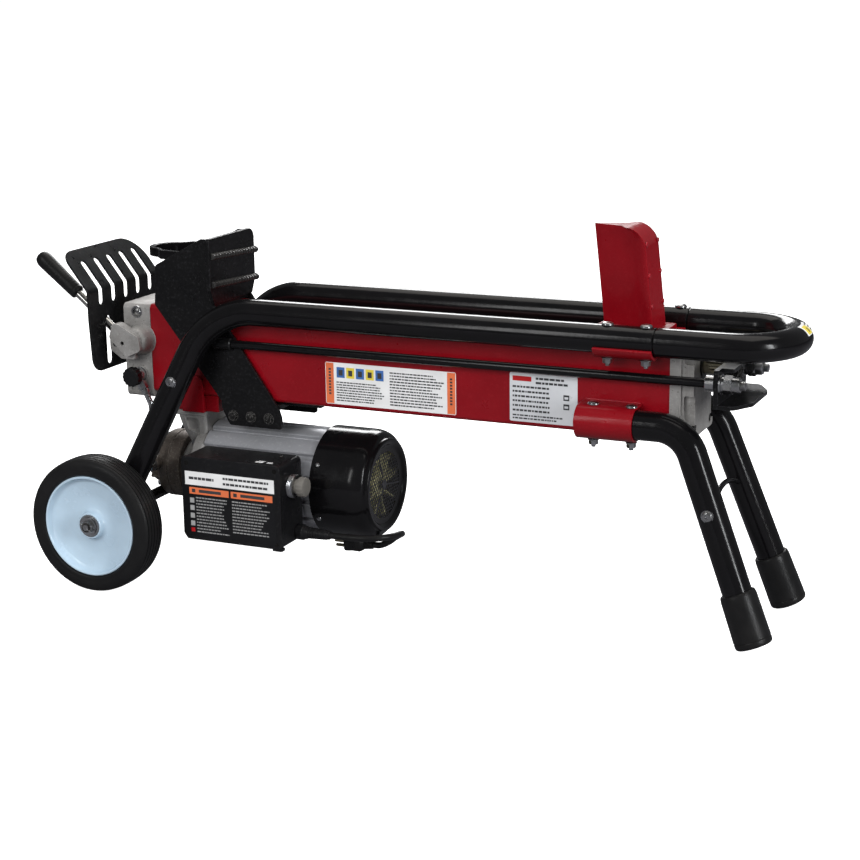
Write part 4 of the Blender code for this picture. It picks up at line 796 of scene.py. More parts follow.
def add_front_legs():
    for side, word in SIDES:
        knee, down, sole = foot_geometry(side)
        top = Vector((659, side * FOOT_LEG_Y, FOOT_LEG_Z))
        path = filleted([top, knee, sole - down * 12.5], [50], 3)
        skin(f"front_leg_{word}", pipe(path, FOOT_LEG_R, 2, 56), "black_gloss")
        steps = [(0, CAP_R - 2.2), (1, CAP_R - 0.8), (2.8, CAP_R), (7.5, CAP_R + 0.2), (8.5, CAP_R - 0.6),
            (9.5, CAP_R + 0.2), (CAP_LENGTH - 10, CAP_R - 0.6), (CAP_LENGTH - 6, CAP_R - 0.8),
            (CAP_LENGTH - 2.2, CAP_R - 1.4), (CAP_LENGTH - 0.6, CAP_R - 2.4), (CAP_LENGTH, CAP_R - 4.2)]
        path = [sole - down * s for s, _ in steps]
        cap = pipe(path, [r for _, r in steps], 0, 56)
        socket = pipe([sole - down * 11.7, sole - down * 90], FOOT_LEG_R + 0.3, 0, 40)
        ground = prism([(-50, -20), (50, -20), (50, 0), (-50, 0)], "X", sole.x - 50, sole.x + 50)
        ground.transform(shift(0, sole.y, 0))
        skin(f"foot_cap_{word}", worked(cap, cuts=[socket, ground]), "cap_rubber")
        bolt = leg_bolt(side, knee + down * ((169 - knee.z) / down.z), FOOT_LEG_R * 0.965, 7, 8, 2)
        piece(f"leg_bolt_{word}", bolt, "zinc")
    knee, down, _ = foot_geometry(-1)
    z = 174
    centre = knee + down * ((z - knee.z) / down.z)
    reach = -centre.y - (FOOT_LEG_R / math.sqrt(1 - down.y ** 2)) - 1.4
    path = []
    for i in range(41):
        t = -1 + i / 20
        bow = 12 * (1 - t * t)
        path.append(Vector((centre.x - 0.30 * bow, t * reach, z + bow)))
    skin("leg_brace", pipe(path, 3.5, 0, 20), "black_gloss")


# ---------------------------------------------------------------- wheels
def tyre_profile():
    def crown(a):
        return WHEEL_R - 1.5 * (abs(a) / 18) ** 2.6

    points = [(19.5, RIM_R + GAP), (21.8, 72.2), (22.6, 74.8), (21.9, 76.8), (22.4, 78.6), (23, 82),
        (22.6, 86.5), (21.2, 89.8), (18.8, 92.2)]
    edges = (16, 9.8, 3.4)
    for e in edges:
        points += [(e + 1, crown(e)), (e + 0.5, crown(e) - 2.1), (e - 0.5, crown(e) - 2.1), (e - 1, crown(e))]
    points = points + [(-a, r) for a, r in points[::-1]]
    return points


def add_wheels():
    outside = [(20.5, RIM_R), (21.3, 69), (21, 67.2), (19.6, 66.2), (15, 65), (12.8, 63.2), (11.2, 60),
        (10, 52), (8.6, 44), (8, 38), (8.4, 30), (9.6, 23.5), (11.2, 20.5), (13.8, 19), (17.8, 18.2),
        (19, 17.2), (19, 16), (18, 15.6), (18, 8.25)]
    inside = [(-20, 8.25), (-20, 16.5), (2, 17.2), (5.5, 20.5), (4, 46), (7, 62), (6, 64.5), (-20.5, 66.2),
        (-21, RIM_R)]
    for side, word in SIDES:
        centre = (0, side * WHEEL_Y, WHEEL_R)
        body = f"wheel_{word}"
        skin(f"tyre_{word}", turned([(side * a, r) for a, r in tyre_profile()], "Y", centre, 120,
            closed=True), "tyre", body)
        skin(f"wheel_rim_{word}", turned([(side * a, r) for a, r in outside + inside], "Y", centre, 96,
            closed=True), "rim_white", body)
        ring = turned([(side * a, r) for a, r in ((18.1, 9.8), (18.1, 15.4), (19.6, 15.4), (20, 14.8),
            (20, 10.4), (19.6, 9.8))], "Y", centre, 56, closed=True)
        piece(f"wheel_bearing_{word}", ring, "zinc", body)
        disc = bar("Y", *span(side, WHEEL_Y - 18, WHEEL_Y - 15), 20, (0, 0, WHEEL_R), 40, 1)
        piece(f"wheel_inner_washer_{word}", disc, "zinc", body)


def add_axle():
    shaft = [(-216.8, 0), (-216.8, 5.6), (-216, 6.6), (-208.5, 6.6), (-208.5, 7.9), (-167.5, 7.9),
        (-167.5, 12), (-164, 12), (-164, 8)]
    shaft += [(-a, r) for a, r in shaft[::-1]]
    skin("axle", turned(shaft, "Y", (0, 0, WHEEL_R), 40), "black_oxide")
    centre = (0, 0, WHEEL_R)
    for side, word in SIDES:
        disc = washer("Y", side * 208.6, side * 210.2, 6.7, 12, centre)
        nut = hex_nut("Y", *span(side, 210.3, 215), 9.2, centre, 0.25)
        end = thread("Y", side * 214.9, side * 216.9, 5.2, centre, 0.9)
        piece(f"axle_nut_{word}", joined(disc, nut, end), "zinc")
        pin = [(-8, side * 215.8, WHEEL_R + 5), (3, side * 216.2, WHEEL_R - 2),
            (9, side * 215.8, WHEEL_R - 6.5)]
        piece(f"cotter_pin_{word}", pipe(pin, 0.9, segments=12), "zinc")


# ---------------------------------------------------------------- ram, yoke, rods and pusher
def add_ram():
    rod = [(306, 0), (306, ROD_R - 4.3), (345.3, ROD_R - 4.3), (345.3, ROD_R), (826.8, ROD_R),
        (828.1, ROD_R - 1.2), (828.1, 0)]
    skin("piston_rod", turned(rod, "X", (0, 0, CYLINDER_Z), 56), "brassy_chrome", "ram")
    tail = thread("X", 827, 848, 5.8, (0, 0, ROD_TAIL_Z))
    piece("piston_rod_tail", tail, "black_oxide", "ram")
    nut = hex_nut("X", 835.6, 843.6, 9.8, (0, 0, ROD_TAIL_Z), 0.3)
    piece("piston_rod_nut", nut, "black_oxide", "ram")
    add_yoke()
    for side, word in SIDES:
        c = (0, side * SIDE_ROD_Y, SIDE_ROD_Z)
        rod = [(147, 0), (147, SIDE_ROD_R - 0.5), (148, SIDE_ROD_R), (815, SIDE_ROD_R),
            (816.3, SIDE_ROD_R - 0.8), (816.3, 0)]
        skin(f"side_rod_{word}", turned(rod, "X", c, 36), "black_gloss", "ram")
        spacer = turned([(816.5, 0), (816.5, 9.6), (817.2, 10.3), (827.5, 10.3), (828.2, 9.6), (828.2, 0)],
            "X", c, 40)
        tail = joined(spacer, thread("X", 828.2, 866.8, SIDE_ROD_R - 0.4, c))
        piece(f"side_rod_tail_{word}", tail, "zinc", "ram")
        disc = washer("X", 835, 837, 6.2, 13, c, 44)
        split = washer("X", 837.3, 839.8, 6.2, 10.8, c, 44)
        first = hex_nut("X", 840, 850.5, 12.4, c, 0.35)
        second = turned([(850.7, 5.8), (850.7, 10.2), (857.5, 9.8), (860, 8.4), (860, 5.8)], "X", c, 40,
            closed=True)
        skin(f"rod_nut_{word}", joined(disc, split, first, second), "zinc", "ram")
    add_pusher()


def add_yoke():
    web = prism(rect((-67, 67), (298.5, 347), 6), "X", 828.5, 834.5)
    flange = rounded([(828.5, -67), (854, -67), (871, -36), (871, 36), (854, 67), (828.5, 67)],
        [0, 10, 10, 10, 10, 0])
    lower = prism(flange, "Z", 298.5, 303.5)
    upper = prism(rect((828.5, 850), (-50, 50), 2), "Z", 342, 347)
    cuts = [bar("X", 820, 834.7, SIDE_ROD_R + GAP, (0, side * SIDE_ROD_Y, SIDE_ROD_Z), 28) for side, _
        in SIDES]
    yoke = worked(web, fuses=[lower, upper], cuts=cuts, bevel=1.1, steps=3)
    skin("yoke", yoke, "black_satin", "ram")


def add_pusher():
    half, top_z = 62.5, 472
    x0, x1 = 114, 120
    face = rounded([(-half, 400.5), (-53, 380), (53, 380), (half, 400.5), (half, top_z), (-half, top_z)],
        [4, 0, 0, 4, 14, 4])
    plate = worked(prism(face, "X", x0, x1), bevel=1, steps=3)
    skin("pusher", plate, "black_satin", "ram")
    side_points = [(27, 430), (101, 470), (114.5, 470), (114.5, 384), (127, 366.5), (214, 241.5), (218, 229),
        (219, 212.5), (137, 212.5), (125, 236), (125, 246), (24, 374.5), (25, 390)]
    radii = [6, 3, 0, 0, 0, 4, 4, 4, 4, 4, 0, 4, 4]
    outline = [(z, x) for x, z in rounded(side_points, radii, 5)]
    for side, word in SIDES:
        groove = bar("X", 140, 170, SIDE_ROD_R + 0.6, (0, side * SIDE_ROD_Y, SIDE_ROD_Z), 28)
        plate = worked(prism(outline, "Y", *span(side, 49.5, 53.5)), cuts=[groove], bevel=0.8)
        piece(f"pusher_side_{word}", plate, "black_satin", "ram")
        boss = bar("X", 120, 146.7, 8.8, (0, side * SIDE_ROD_Y, SIDE_ROD_Z), 40, 1)
        piece(f"pusher_rod_boss_{word}", boss, "black_satin", "ram")
        heads = []
        for x in (143, 171, 199):
            at = (x, 0, 226.5)
            heads.append(joined(bar("Y", *span(side, 53, 54.5), 7.8, at, 32),
                hex_nut("Y", *span(side, 54.4, 58.5), 6.2, at, 0.3 + x * 0.009)))
        piece(f"pusher_bolts_{word}", joined(*heads), "black_oxide", "ram")
        seam = rippled_bead([(114.5, side * 54.6, 386), (114.5, side * 54.6, 469)], 2.2)
        piece(f"pusher_weld_{word}", seam, "weld_black", "ram")
    shoe = worked(prism(rect((-49.8, 49.8), (373.5, 380)), "X", 30, 114.3), bevel=0.8)
    piece("pusher_shoe", shoe, "black_satin", "ram")
    bars = []
    tilt = Matrix.Rotation(math.radians(-3.2), 4, "X")
    for z in (405, 444):
        strip = tooth_bar(x1, half)
        strip.transform(shift(0, 0, z) @ tilt)
        bars.append(strip)
    piece("pusher_teeth", joined(*bars), "weld_black", "ram")
    strap()
    keeper = worked(prism(rect((-49.2, 49.2), (240, 246.5), 2), "X", 137, 215), bevel=0.8)
    skin("slide_plate", keeper, "black_satin", "ram")
    strip = worked(prism(rect((-30, 30), (242, 246.5)), "X", 214, 268), bevel=0.6)
    piece("slide_strip", strip, "black_satin", "ram")


def tooth_bar(x1, half):
    """A serrated bar: a low ridge notched into teeth along its run."""
    rings = []
    y = -half + 4
    end = half + 3.5
    pitch = 7.5
    count = round((end - y) / pitch)
    pitch = (end - y) / count
    for i in range(count):
        for share, high in ((0, 3.4), (0.18, 6), (0.62, 6), (0.82, 3.4)):
            at = y + (i + share) * pitch
            grow = 1 if high > 4 else 0.82
            rings.append([Vector((x1 - 1, at, -5.2 * grow)), Vector((x1 + high * 0.55, at, -4.2 * grow)),
                Vector((x1 + high, at, -1.6 * grow)), Vector((x1 + high, at, 1.6 * grow)),
                Vector((x1 + high * 0.55, at, 4.2 * grow)), Vector((x1 - 1, at, 5.2 * grow))])
    rings.append([p + Vector((0, end - rings[-1][0].y, 0)) for p in rings[-1]])
    return lofted(rings)


def strap():
    half, thick, z0, z1 = 44.5, 7.5, 437.5, 450
    front = 80
    outer = [(front, -50), (30, -half)] + arc_points((23.5, 0), 32, -100, -260, 32)
    outer += [(30, half), (front, 50)]
    inner = [(front, 45), (32.5, half - thick)]
    inner += arc_points((23.5, 0), 32 - thick, -260, -100, 32)
    inner += [(32.5, -half + thick), (front, -45)]
    mesh = worked(prism(outer + inner, "Z", z0, z1), bevel=1.2, steps=3)
    piece("pusher_strap", mesh, "black_gloss", "ram")


# ---------------------------------------------------------------- motor, pump and cowl
def add_pump():
    centre = (0, 0, MOTOR_Z)
    body = [(-18, 0), (-18, 23.5), (-16.8, 25.8), (-14, 28.5), (-11, 30), (10, 30.2), (10.4, 31),
        (10.4, 45.5), (11.6, 47.6), (14, 48.5), (26, 48.5), (26.8, 47.5), (28, 47.5), (28.8, 48.5),
        (44, 48.5), (45.6, 47.6), (45.6, 0)]
    main = turned(body, "X", centre, 72)
    port = turned([(-56.2, 0), (-56.2, 8.6), (-54.5, 10.2), (-40, 10.8), (-20, 11.5), (-20, 0)], "Y",
        (8, 0, 143), 40)
    low = (0, 0, MOTOR_Z - 26.8)
    cuts = [bar("X", 20.5, 47, 15.5, centre, 48), bar("X", 20.5, 47, 15.5, low, 48),
        bar("X", 10, 30, 7.3, centre, 32), bar("X", 10, 30, 5.3, low, 28)]
    skin("pump_body", worked(main, fuses=[port], cuts=cuts), "cast_pump")
    bolts = []
    for degrees in (35, 95, 150, 215, 275, 335):
        c = around(40, degrees)
        bolts.append(joined(bar("X", 9.2, 10.6, 6.6, c, 28), worked(bar("X", 3.5, 9.4, 4.6, c, 32, 0.6),
            cuts=[hex_nut("X", 2, 6.2, 2.3, c)])))
    piece("pump_bolts", joined(*bolts), "zinc")
    ribs = []
    for degrees in (60, 120, 180, 240, 300, 0):
        rib = worked(prism(rect((-2.2, 2.2), (27, 34.5), 0), "X", -12, 10.2), bevel=1)
        rib.transform(shift(*centre) @ spin(math.radians(degrees)))
        ribs.append(rib)
    piece("pump_ribs", joined(*ribs), "cast_pump")
    plug = joined(hex_nut("X", -22.5, -17.8, 8, centre, 0.2), bar("X", -19, -17.6, 10.5, centre, 40))
    piece("pump_end_plug", plug, "zinc")
    rows = ((224, 46, 91.5, 43), (214, 47, 91.5, 42.5), (198, 52, 91, 41), (178, 62, 89, 37),
        (150, 70, 88, 30))
    mount = lofted([[Vector((u, v, z)) for u, v in rect((x0, x1), (-half, half), 4)] for z, x0, x1, half
        in rows])
    core = prism(rounded([(214, 56.5), (214, 80), (190, 80), (196, 62)], [3] * 4, 4), "Y", -50, -37)
    other = core.copy()
    other.transform(Matrix.Scale(-1, 4, (0, 1, 0)))
    other.flip_normals()
    fuses = [bar("X", 45.9, 76, 38, centre, 56), bar("X", 74, 92.2, 69, centre, 72, 2.5),
        worked(prism(rect((-44, 44), (217, 224), 2), "X", 45.5, 92))]
    mesh = worked(mount, fuses=fuses, cuts=[core, other, bar("X", 40, 100, 8.5, centre, 32),
        bar("X", 40, 50, 15, low, 32)], bevel=1.3, steps=3)
    skin("motor_mount", mesh, "cast_alu")
    lugs = [hex_nut("X", 68, 74.2, 6, around(58.5, degrees), 0.2) for degrees in (48, 132, 228, 312)]
    piece("motor_flange_bolts", joined(*lugs), "zinc")


def add_motor():
    count = 14
    points = []
    pitch = 2 * math.pi / count
    root, tip = MOTOR_R - 6, MOTOR_R
    for i in range(count):
        for offset, radius in ((-0.37, tip - 1.2), (-0.33, tip - 0.3), (-0.20, tip), (0, tip), (0.20, tip),
                (0.33, tip - 0.3), (0.37, tip - 1.2), (0.395, root + 0.8), (0.42, root), (0.50, root - 0.2),
                (0.58, root), (0.605, root + 0.8)):
            a = (i + offset) * pitch
            points.append((radius * math.cos(a), MOTOR_Z + radius * math.sin(a)))
    rings = []
    for x, inset in ((92.5, 1.2), (93.7, 0), (268.7, 0)):
        rings.append([Vector((x, u * (1 - inset / tip), MOTOR_Z + (v - MOTOR_Z) * (1 - inset / tip))) for u, v
            in points])
    shell = worked(lofted(rings), cuts=[bar("X", 80, 290, 60.5, (0, 0, MOTOR_Z), 64)])
    skin("motor_housing", shell, "silver_alu", sharp=28)
    add_cowl()
    blades = []
    for i in range(9):
        blade = lofted([[Vector((x + 1.2 * k, y, z)) for y, z in ((-1.1, 0), (1.1, 0))]
            + [Vector((x + 1.2 * k + 0.8, y, 44)) for y in (1.1, -1.1)] for k, x in ((0, 302.5), (1, 340))])
        blade.transform(shift(0, 0, MOTOR_Z) @ spin(2 * math.pi * i / 9) @ shift(322, 0, 14) @ spin(0.20, "Z")
            @ shift(-322, 0, 0))
        blades.append(blade)
    hub = turned([(301, 7.5), (301, 16.5), (338.5, 17.5), (341, 15), (341, 7.5)], "X", (0, 0, MOTOR_Z), 48,
        closed=True)
    back = washer("X", 300.5, 302.4, 7.5, 60, (0, 0, MOTOR_Z), 64)
    skin("cooling_fan", joined(hub, back, *blades), "fan_plastic", "motor")


def add_cowl():
    """The fan's cover: a round cup with a rolled edge, a raised ring and a grille in the middle."""
    x0, x1 = COWL_X
    centre = (0, 0, MOTOR_Z)
    outside = [(x0, COWL_R - 0.4), (x0 + 0.6, COWL_R)]
    shoulder_x, shoulder_r = x1 - 26.5, COWL_R
    for i in range(9):
        a = math.radians(10 * i)
        outside.append((shoulder_x + 21.5 * math.sin(a), shoulder_r - 10.5 * (1 - math.cos(a))))
    outside += [(x1 - 4, 65.5), (x1 - 1.6, 65), (x1 - 0.3, 63.6), (x1, 61.8), (x1 - 0.4, 59.6),
        (x1 - 1.6, 57.2), (x1 - 3.6, 55.2), (x1 - 5, 53.5), (x1 - 5, 47.5), (x1 - 5.6, 46.2)]
    inside = [(x1 - 6.8, 46.2), (x1 - 7.2, 60), (x1 - 14, COWL_R - 7.5), (x1 - 26, COWL_R - 2.2),
        (x0, COWL_R - 2.2)]
    skin("fan_cowl", turned(outside + inside, "X", centre, 96, closed=True), "black_gloss")
    grille = linked("grille_work", round_grid(45, 5.5))
    wires = grille.modifiers.new("wires", "WIREFRAME")
    wires.thickness = 1.6 * MM
    wires.use_replace = True
    wires.use_boundary = True
    wires.use_even_offset = False
    mesh = baked(grille)
    mesh.transform(shift(x1 - 6.2, 0, MOTOR_Z))
    piece("cowl_grille", mesh, "grille_grey")
    spokes = []
    for i in range(3):
        spoke = prism(rect((-0.8, 0.8), (6, 47.5)), "X", x1 - 6.6, x1 - 5.2)
        spoke.transform(shift(*centre) @ spin(0.35 + math.pi * i / 1.5))
        spokes.append(spoke)
    hub = bar("X", x1 - 6.8, x1 - 5, 6.2, centre, 32, 0.5)
    piece("cowl_spokes", joined(hub, *spokes), "grille_grey")
    screws = []
    for degrees in (180 - 30, 30, 210, 330):
        a = math.radians(degrees)
        head = dome_head("Z", COWL_R - 0.3, 1, 3.6, 1.8, (278.5, 0, 0), 24)
        head.transform(shift(0, 0, MOTOR_Z) @ spin(a - math.pi / 2))
        screws.append(head)
    piece("cowl_screws", joined(*screws), "zinc")


def round_grid(radius, pitch):
    """A flat honeycomb in the Y-Z plane, trimmed to a circle."""
    bm = bmesh.new()
    corners = {}
    arm = pitch / math.sqrt(3)
    count = int(radius / pitch) + 2
    for j in range(-count, count + 1):
        for i in range(-count, count + 1):
            y = (i + (0.5 if j % 2 else 0)) * pitch
            z = j * pitch * math.sqrt(0.75)
            if math.hypot(y, z) > radius:
                continue
            ring = []
            for k in range(6):
                a = math.pi / 6 + math.pi * k / 3
                spot = (y + arm * math.cos(a), z + arm * math.sin(a))
                key = (round(spot[0], 2), round(spot[1], 2))
                if key not in corners:
                    corners[key] = bm.verts.new(Vector((0, *spot)) * MM)
                ring.append(corners[key])
            bm.faces.new(ring)
    return finish_mesh(bm)


# ---------------------------------------------------------------- switch box, cord and plug
def add_switch_box():
    def shell(g, y0, y1):
        points = [(BOX_Z[0] - g, BOX_X[0] + 6 - g), (BOX_Z[0] + 8, BOX_X[0] - g),
            (BOX_Z[1] + g, BOX_X[0] - g), (BOX_Z[1] + g, BOX_X[1] + g), (BOX_Z[0] - g, BOX_X[1] + g)]
        return prism(rounded(points, [3, 4, 5, 7, 5], 5), "Y", y0, y1)

    hole = bar("X", BOX_X[1] - 10, BOX_X[1] + 10, 11.8, (0, BUTTON_Y, BUTTON_Z), 36)
    inside = rect((BOX_Z[0] + 7, BOX_Z[1] - 3), (BOX_X[0] + 3, BOX_X[1] - 3), 3)
    hollow = prism(inside, "Y", -130, BOX_Y[1] + 10)
    rear = worked(shell(-0.7, -131.8, BOX_Y[1]), cuts=[hollow, hole], bevel=2.2, steps=4)
    skin("switch_box", rear, "black_plastic")
    lid = worked(shell(0, BOX_Y[0], -132.2), cuts=[prism(inside, "Y", -137, -130)], bevel=2.8, steps=4)
    piece("switch_box_lid", lid, "black_plastic")
    foot = worked(prism(rect((245, 260), (-139.5, -129), 2), "Z", 67.2, 71.2), bevel=0.8)
    piece("switch_box_foot", foot, "black_plastic")
    # Thin dark discs on the lid where its screw wells are: painted shade in place of the recessed holes.
    well_shade_discs = []
    for x, z in ((116.5, 178), (252.5, 179), (120.5, 79), (252.5, 77)):
        well_shade_discs.append(bar("Y", -140.2, -139.6, 3.2, (x, 0, z), 24))
    piece("lid_screw_well_shade", joined(*well_shade_discs), "painted_socket_shade")
    screws = []
    for x, y in ((150, -115), (236, -90)):
        screws.append(dome_head("Z", BOX_Z[1] - 0.9, 1, 3, 1.2, (x, y, 0), 24))
    piece("box_top_screws", joined(*screws), "black_oxide")
    add_button()


def add_button():
    x = BOX_X[1]
    c = (0, BUTTON_Y, BUTTON_Z)
    collar = turned([(x - 0.4, 11.2), (x - 0.4, 15.8), (x + 1.2, 16), (x + 2.2, 15), (x + 3, 16), (x + 4, 15),
        (x + 5, 16), (x + 6, 15), (x + 7.2, 16), (x + 8.2, 15.4), (x + 8.4, 11.2)], "X", c, 56, closed=True)
    skin("button_bezel", collar, "zinc")
    boot_profile = [(x - 6, 0), (x - 6, 9), (x + 1, 10.4), (x + 13.4, 10.4), (x + 13.6, 13.2), (x + 15, 14),
        (x + 20.5, 13.8), (x + 23, 12.8), (x + 24.3, 10), (x + 24.3, 0)]
    boot = turned(boot_profile, "X", c, 60)
    bm = bmesh.new()
    bm.from_mesh(boot)
    for v in bm.verts:
        y, z = v.co.y - BUTTON_Y * MM, v.co.z - BUTTON_Z * MM
        if v.co.x > (x + 14) * MM:
            wave = 1 - 0.045 * (0.5 + 0.5 * math.cos(15 * math.atan2(z, y)))
            v.co.y = BUTTON_Y * MM + y * wave
            v.co.z = BUTTON_Z * MM + z * wave
    skin("push_button", finish_mesh(bm), "boot_grey", "button")


def smooth_route(points, spacing):
    route = [Vector(p) for p in points]
    ends = [route[0] * 2 - route[1]] + route + [route[-1] * 2 - route[-2]]
    dense = []
    count = max(2, round(17 / spacing))
    for i in range(1, len(ends) - 2):
        a, b, c, d = ends[i - 1], ends[i], ends[i + 1], ends[i + 2]
        for k in range(count):
            t = k / count
            dense.append(0.5 * (2 * b + (c - a) * t + (2 * a - 5 * b + 4 * c - d) * t ** 2
                + (3 * b - a - 3 * c + d) * t ** 3))
    dense.append(route[-1])
    return dense


def add_cord():
    y, z = CORD_ROUTE[0][1], CORD_ROUTE[0][2]
    x = BOX_X[1] - 0.6
    end = CORD_ROUTE[0][0]
    relief = [(x, 0), (x, 10), (x + 1, 10.8), (x + 10, 10.8), (x + 11, 9.6), (x + 15, 9)]
    a = x + 16.5
    while a < end - 6:
        fade = (a - x) / (end - x)
        relief += [(a, 8.8 - 2.2 * fade), (a + 1.6, 8.8 - 2.2 * fade), (a + 2, 7.4 - 1.6 * fade),
            (a + 3.4, 7.4 - 1.6 * fade)]
        a += 3.8
    relief += [(end - 1.2, 6.2), (end - 0.3, 5.6), (end - 0.3, 0)]
    skin("strain_relief", turned(relief, "X", (0, y, z), 44), "black_plastic")
    skin("power_cord", pipe(smooth_route(CORD_ROUTE, 2.4), CORD_R, 0, 28), "cap_rubber")
    end = Vector(CORD_ROUTE[-1])
    x = end.x - 2 * GAP

    def ring(at, half_y, half_z, corner):
        return [Vector((at, end.y + u, end.z + v)) for u, v in rect((-half_y, half_y), (-half_z, half_z),
            corner, 5)]

    rings = [ring(x, 5.8, 5.8, 5.6)]
    for i in range(4):
        s = x - 1.2 - 2.8 * i
        grow = 0.3 * i
        rings += [ring(s, 6.4 + grow, 6.2 + grow, 6), ring(s - 1.2, 6.4 + grow, 6.2 + grow, 6),
            ring(s - 1.4, 5.6 + grow, 5.5 + grow, 5.4), ring(s - 2.6, 5.6 + grow, 5.5 + grow, 5.4)]
    rings += [ring(x - 15, 10.4, 9.2, 7), ring(x - 18, 12.4, 10.4, 7), ring(x - 30, 12.6, 10.2, 7),
        ring(x - 34.5, 13.4, 10.7, 7), ring(x - 39.2, 13.5, 10.8, 6.6), ring(x - 40, 13, 10.3, 6)]
    skin("plug", lofted(rings), "cap_rubber")
    pins = [worked(prism(rect((end.y + dy - 0.8, end.y + dy + 0.8), (end.z + 0.2, end.z + 6.2)), "X", x - 57,
        x - 39.5), bevel=0.3, steps=1) for dy in (-6.3, 6.3)]
    pins.append(bar("X", x - 58, x - 39.5, 2.4, (0, end.y, end.z - 6), 24, 0.8))
    piece("plug_pins", joined(*pins), "brassy_chrome")
    turns = [2 * math.pi * i / 32 for i in range(32)]
    outer, inner = ([(end.y + wide * math.cos(a), end.z + 0.4 + high * math.sin(a)) for a in turns] for wide,
        high in ((14.2, 11.8), (13.1, 10.7)))
    bands = [[axis_point("X", at, u, v) for u, v in ring_points] for at, ring_points
        in ((x - 29, outer), (x - 24, outer), (x - 24, inner), (x - 29, inner))]
    piece("plug_tie", lofted(bands, closed=True), "black_plastic")
    stem = worked(prism(rect((end.y - 1.6, end.y + 1.6), (end.z + 11.2, MOTOR_Z - COWL_R + 1.2)), "X", x
        - 28.5, x - 24.5), bevel=0.4, steps=1)
    piece("plug_tie_stem", stem, "black_plastic")


# ---------------------------------------------------------------- guard, lever, knob and pipe
def add_guard():
    top = 66
    outline = rounded([(-98, -40), (-92.5, -116.5), (40, -116.5), (74, -80), (84, 10), (86, top), (-98, top)],
        [30, 22, 15, 20, 0, 42, 20], 9)
    sheet = prism([(y, GUARD_KNEE_Z + s) for y, s in outline], "X", GUARD_X - 3, GUARD_X)
    cuts = []
    for i in range(5):
        y = -66.5 + 31.8 * i
        cuts.append(prism(rect((y - 5.8, y + 5.8), (GUARD_KNEE_Z - 23, GUARD_KNEE_Z + 47), 5.7, 8), "X",
            GUARD_X - 20, GUARD_X + 20))
    cuts.append(prism(rect((LEVER_PIVOT.y - 6.6, LEVER_PIVOT.y + 6.6), (285, 354), 6.4, 8), "X", GUARD_X - 20,
        GUARD_X + 20))
    mesh = worked(sheet, cuts=cuts, bevel=0.6)
    mesh.transform(Matrix.Scale(1 / MM, 4))
    bm = bmesh.new()
    bm.from_mesh(mesh)
    bend = 8
    start = GUARD_KNEE_Z - bend / 2
    for k in range(9):
        everything = list(bm.verts) + list(bm.edges) + list(bm.faces)
        bmesh.ops.bisect_plane(bm, geom=everything, plane_co=(0, 0, start + bend * k / 8),
            plane_no=(0, 0, 1))
    turn = GUARD_LEAN / bend
    for v in bm.verts:
        rise = v.co.z - start
        if rise <= 0:
            continue
        back = v.co.x - GUARD_X
        a = turn * min(rise, bend)
        over = max(0, rise - bend)
        v.co.x = GUARD_X - (1 - math.cos(a)) / turn - over * math.sin(a) + back * math.cos(a)
        v.co.z = start + math.sin(a) / turn + over * math.cos(a) + back * math.sin(a)
    bmesh.ops.scale(bm, vec=(MM, MM, MM), verts=bm.verts)
    skin("hand_guard", finish_mesh(bm), "black_satin", sharp=30)


def add_lever():
    up = Vector((-0.769, 0, 0.639)).normalized()
    hub = turned([(-2.5, 4), (-2.5, 7.8), (-1.8, 8.5), (1.8, 8.5), (2.5, 7.8), (2.5, 4)], "Y", LEVER_PIVOT,
        40, closed=True)
    root = LEVER_PIVOT + Vector((0.639, 0, 0.769)) * 7.5
    shaft = pipe([root - up * 4, root + up * 6, root + up * 14, root + up * 20, root + up * 144.4],
        [3, 4, 5.2, 6, 6], 0, 32)
    skin("lever_rod", joined(hub, shaft), "chrome", "lever")
    rings = [(93, 7), (93.4, 8.6), (95, 10), (97.5, 10.5), (99.5, 10.5), (100.2, 9.9), (101, 9.9),
        (101.7, 10.5)]
    s = 106
    while s < 156:
        r = 10.6 + 1.2 * (s - 106) / 50
        rings += [(s, r), (s + 0.5, r - 0.22), (s + 1.1, r - 0.22), (s + 1.6, r)]
        s += 4
    rings += [(161, 11.9), (166, 11.5), (170, 10.2), (172.5, 8.2), (174, 5.5), (174.6, 2.4)]
    grip = pipe([root + up * a for a, _ in rings], [r for _, r in rings], 0, 44)
    bore = pipe([root + up * 84, root + up * 144.5], 6.3, 0, 28)
    skin("lever_grip", worked(grip, cuts=[bore]), "grip_rubber", "lever")


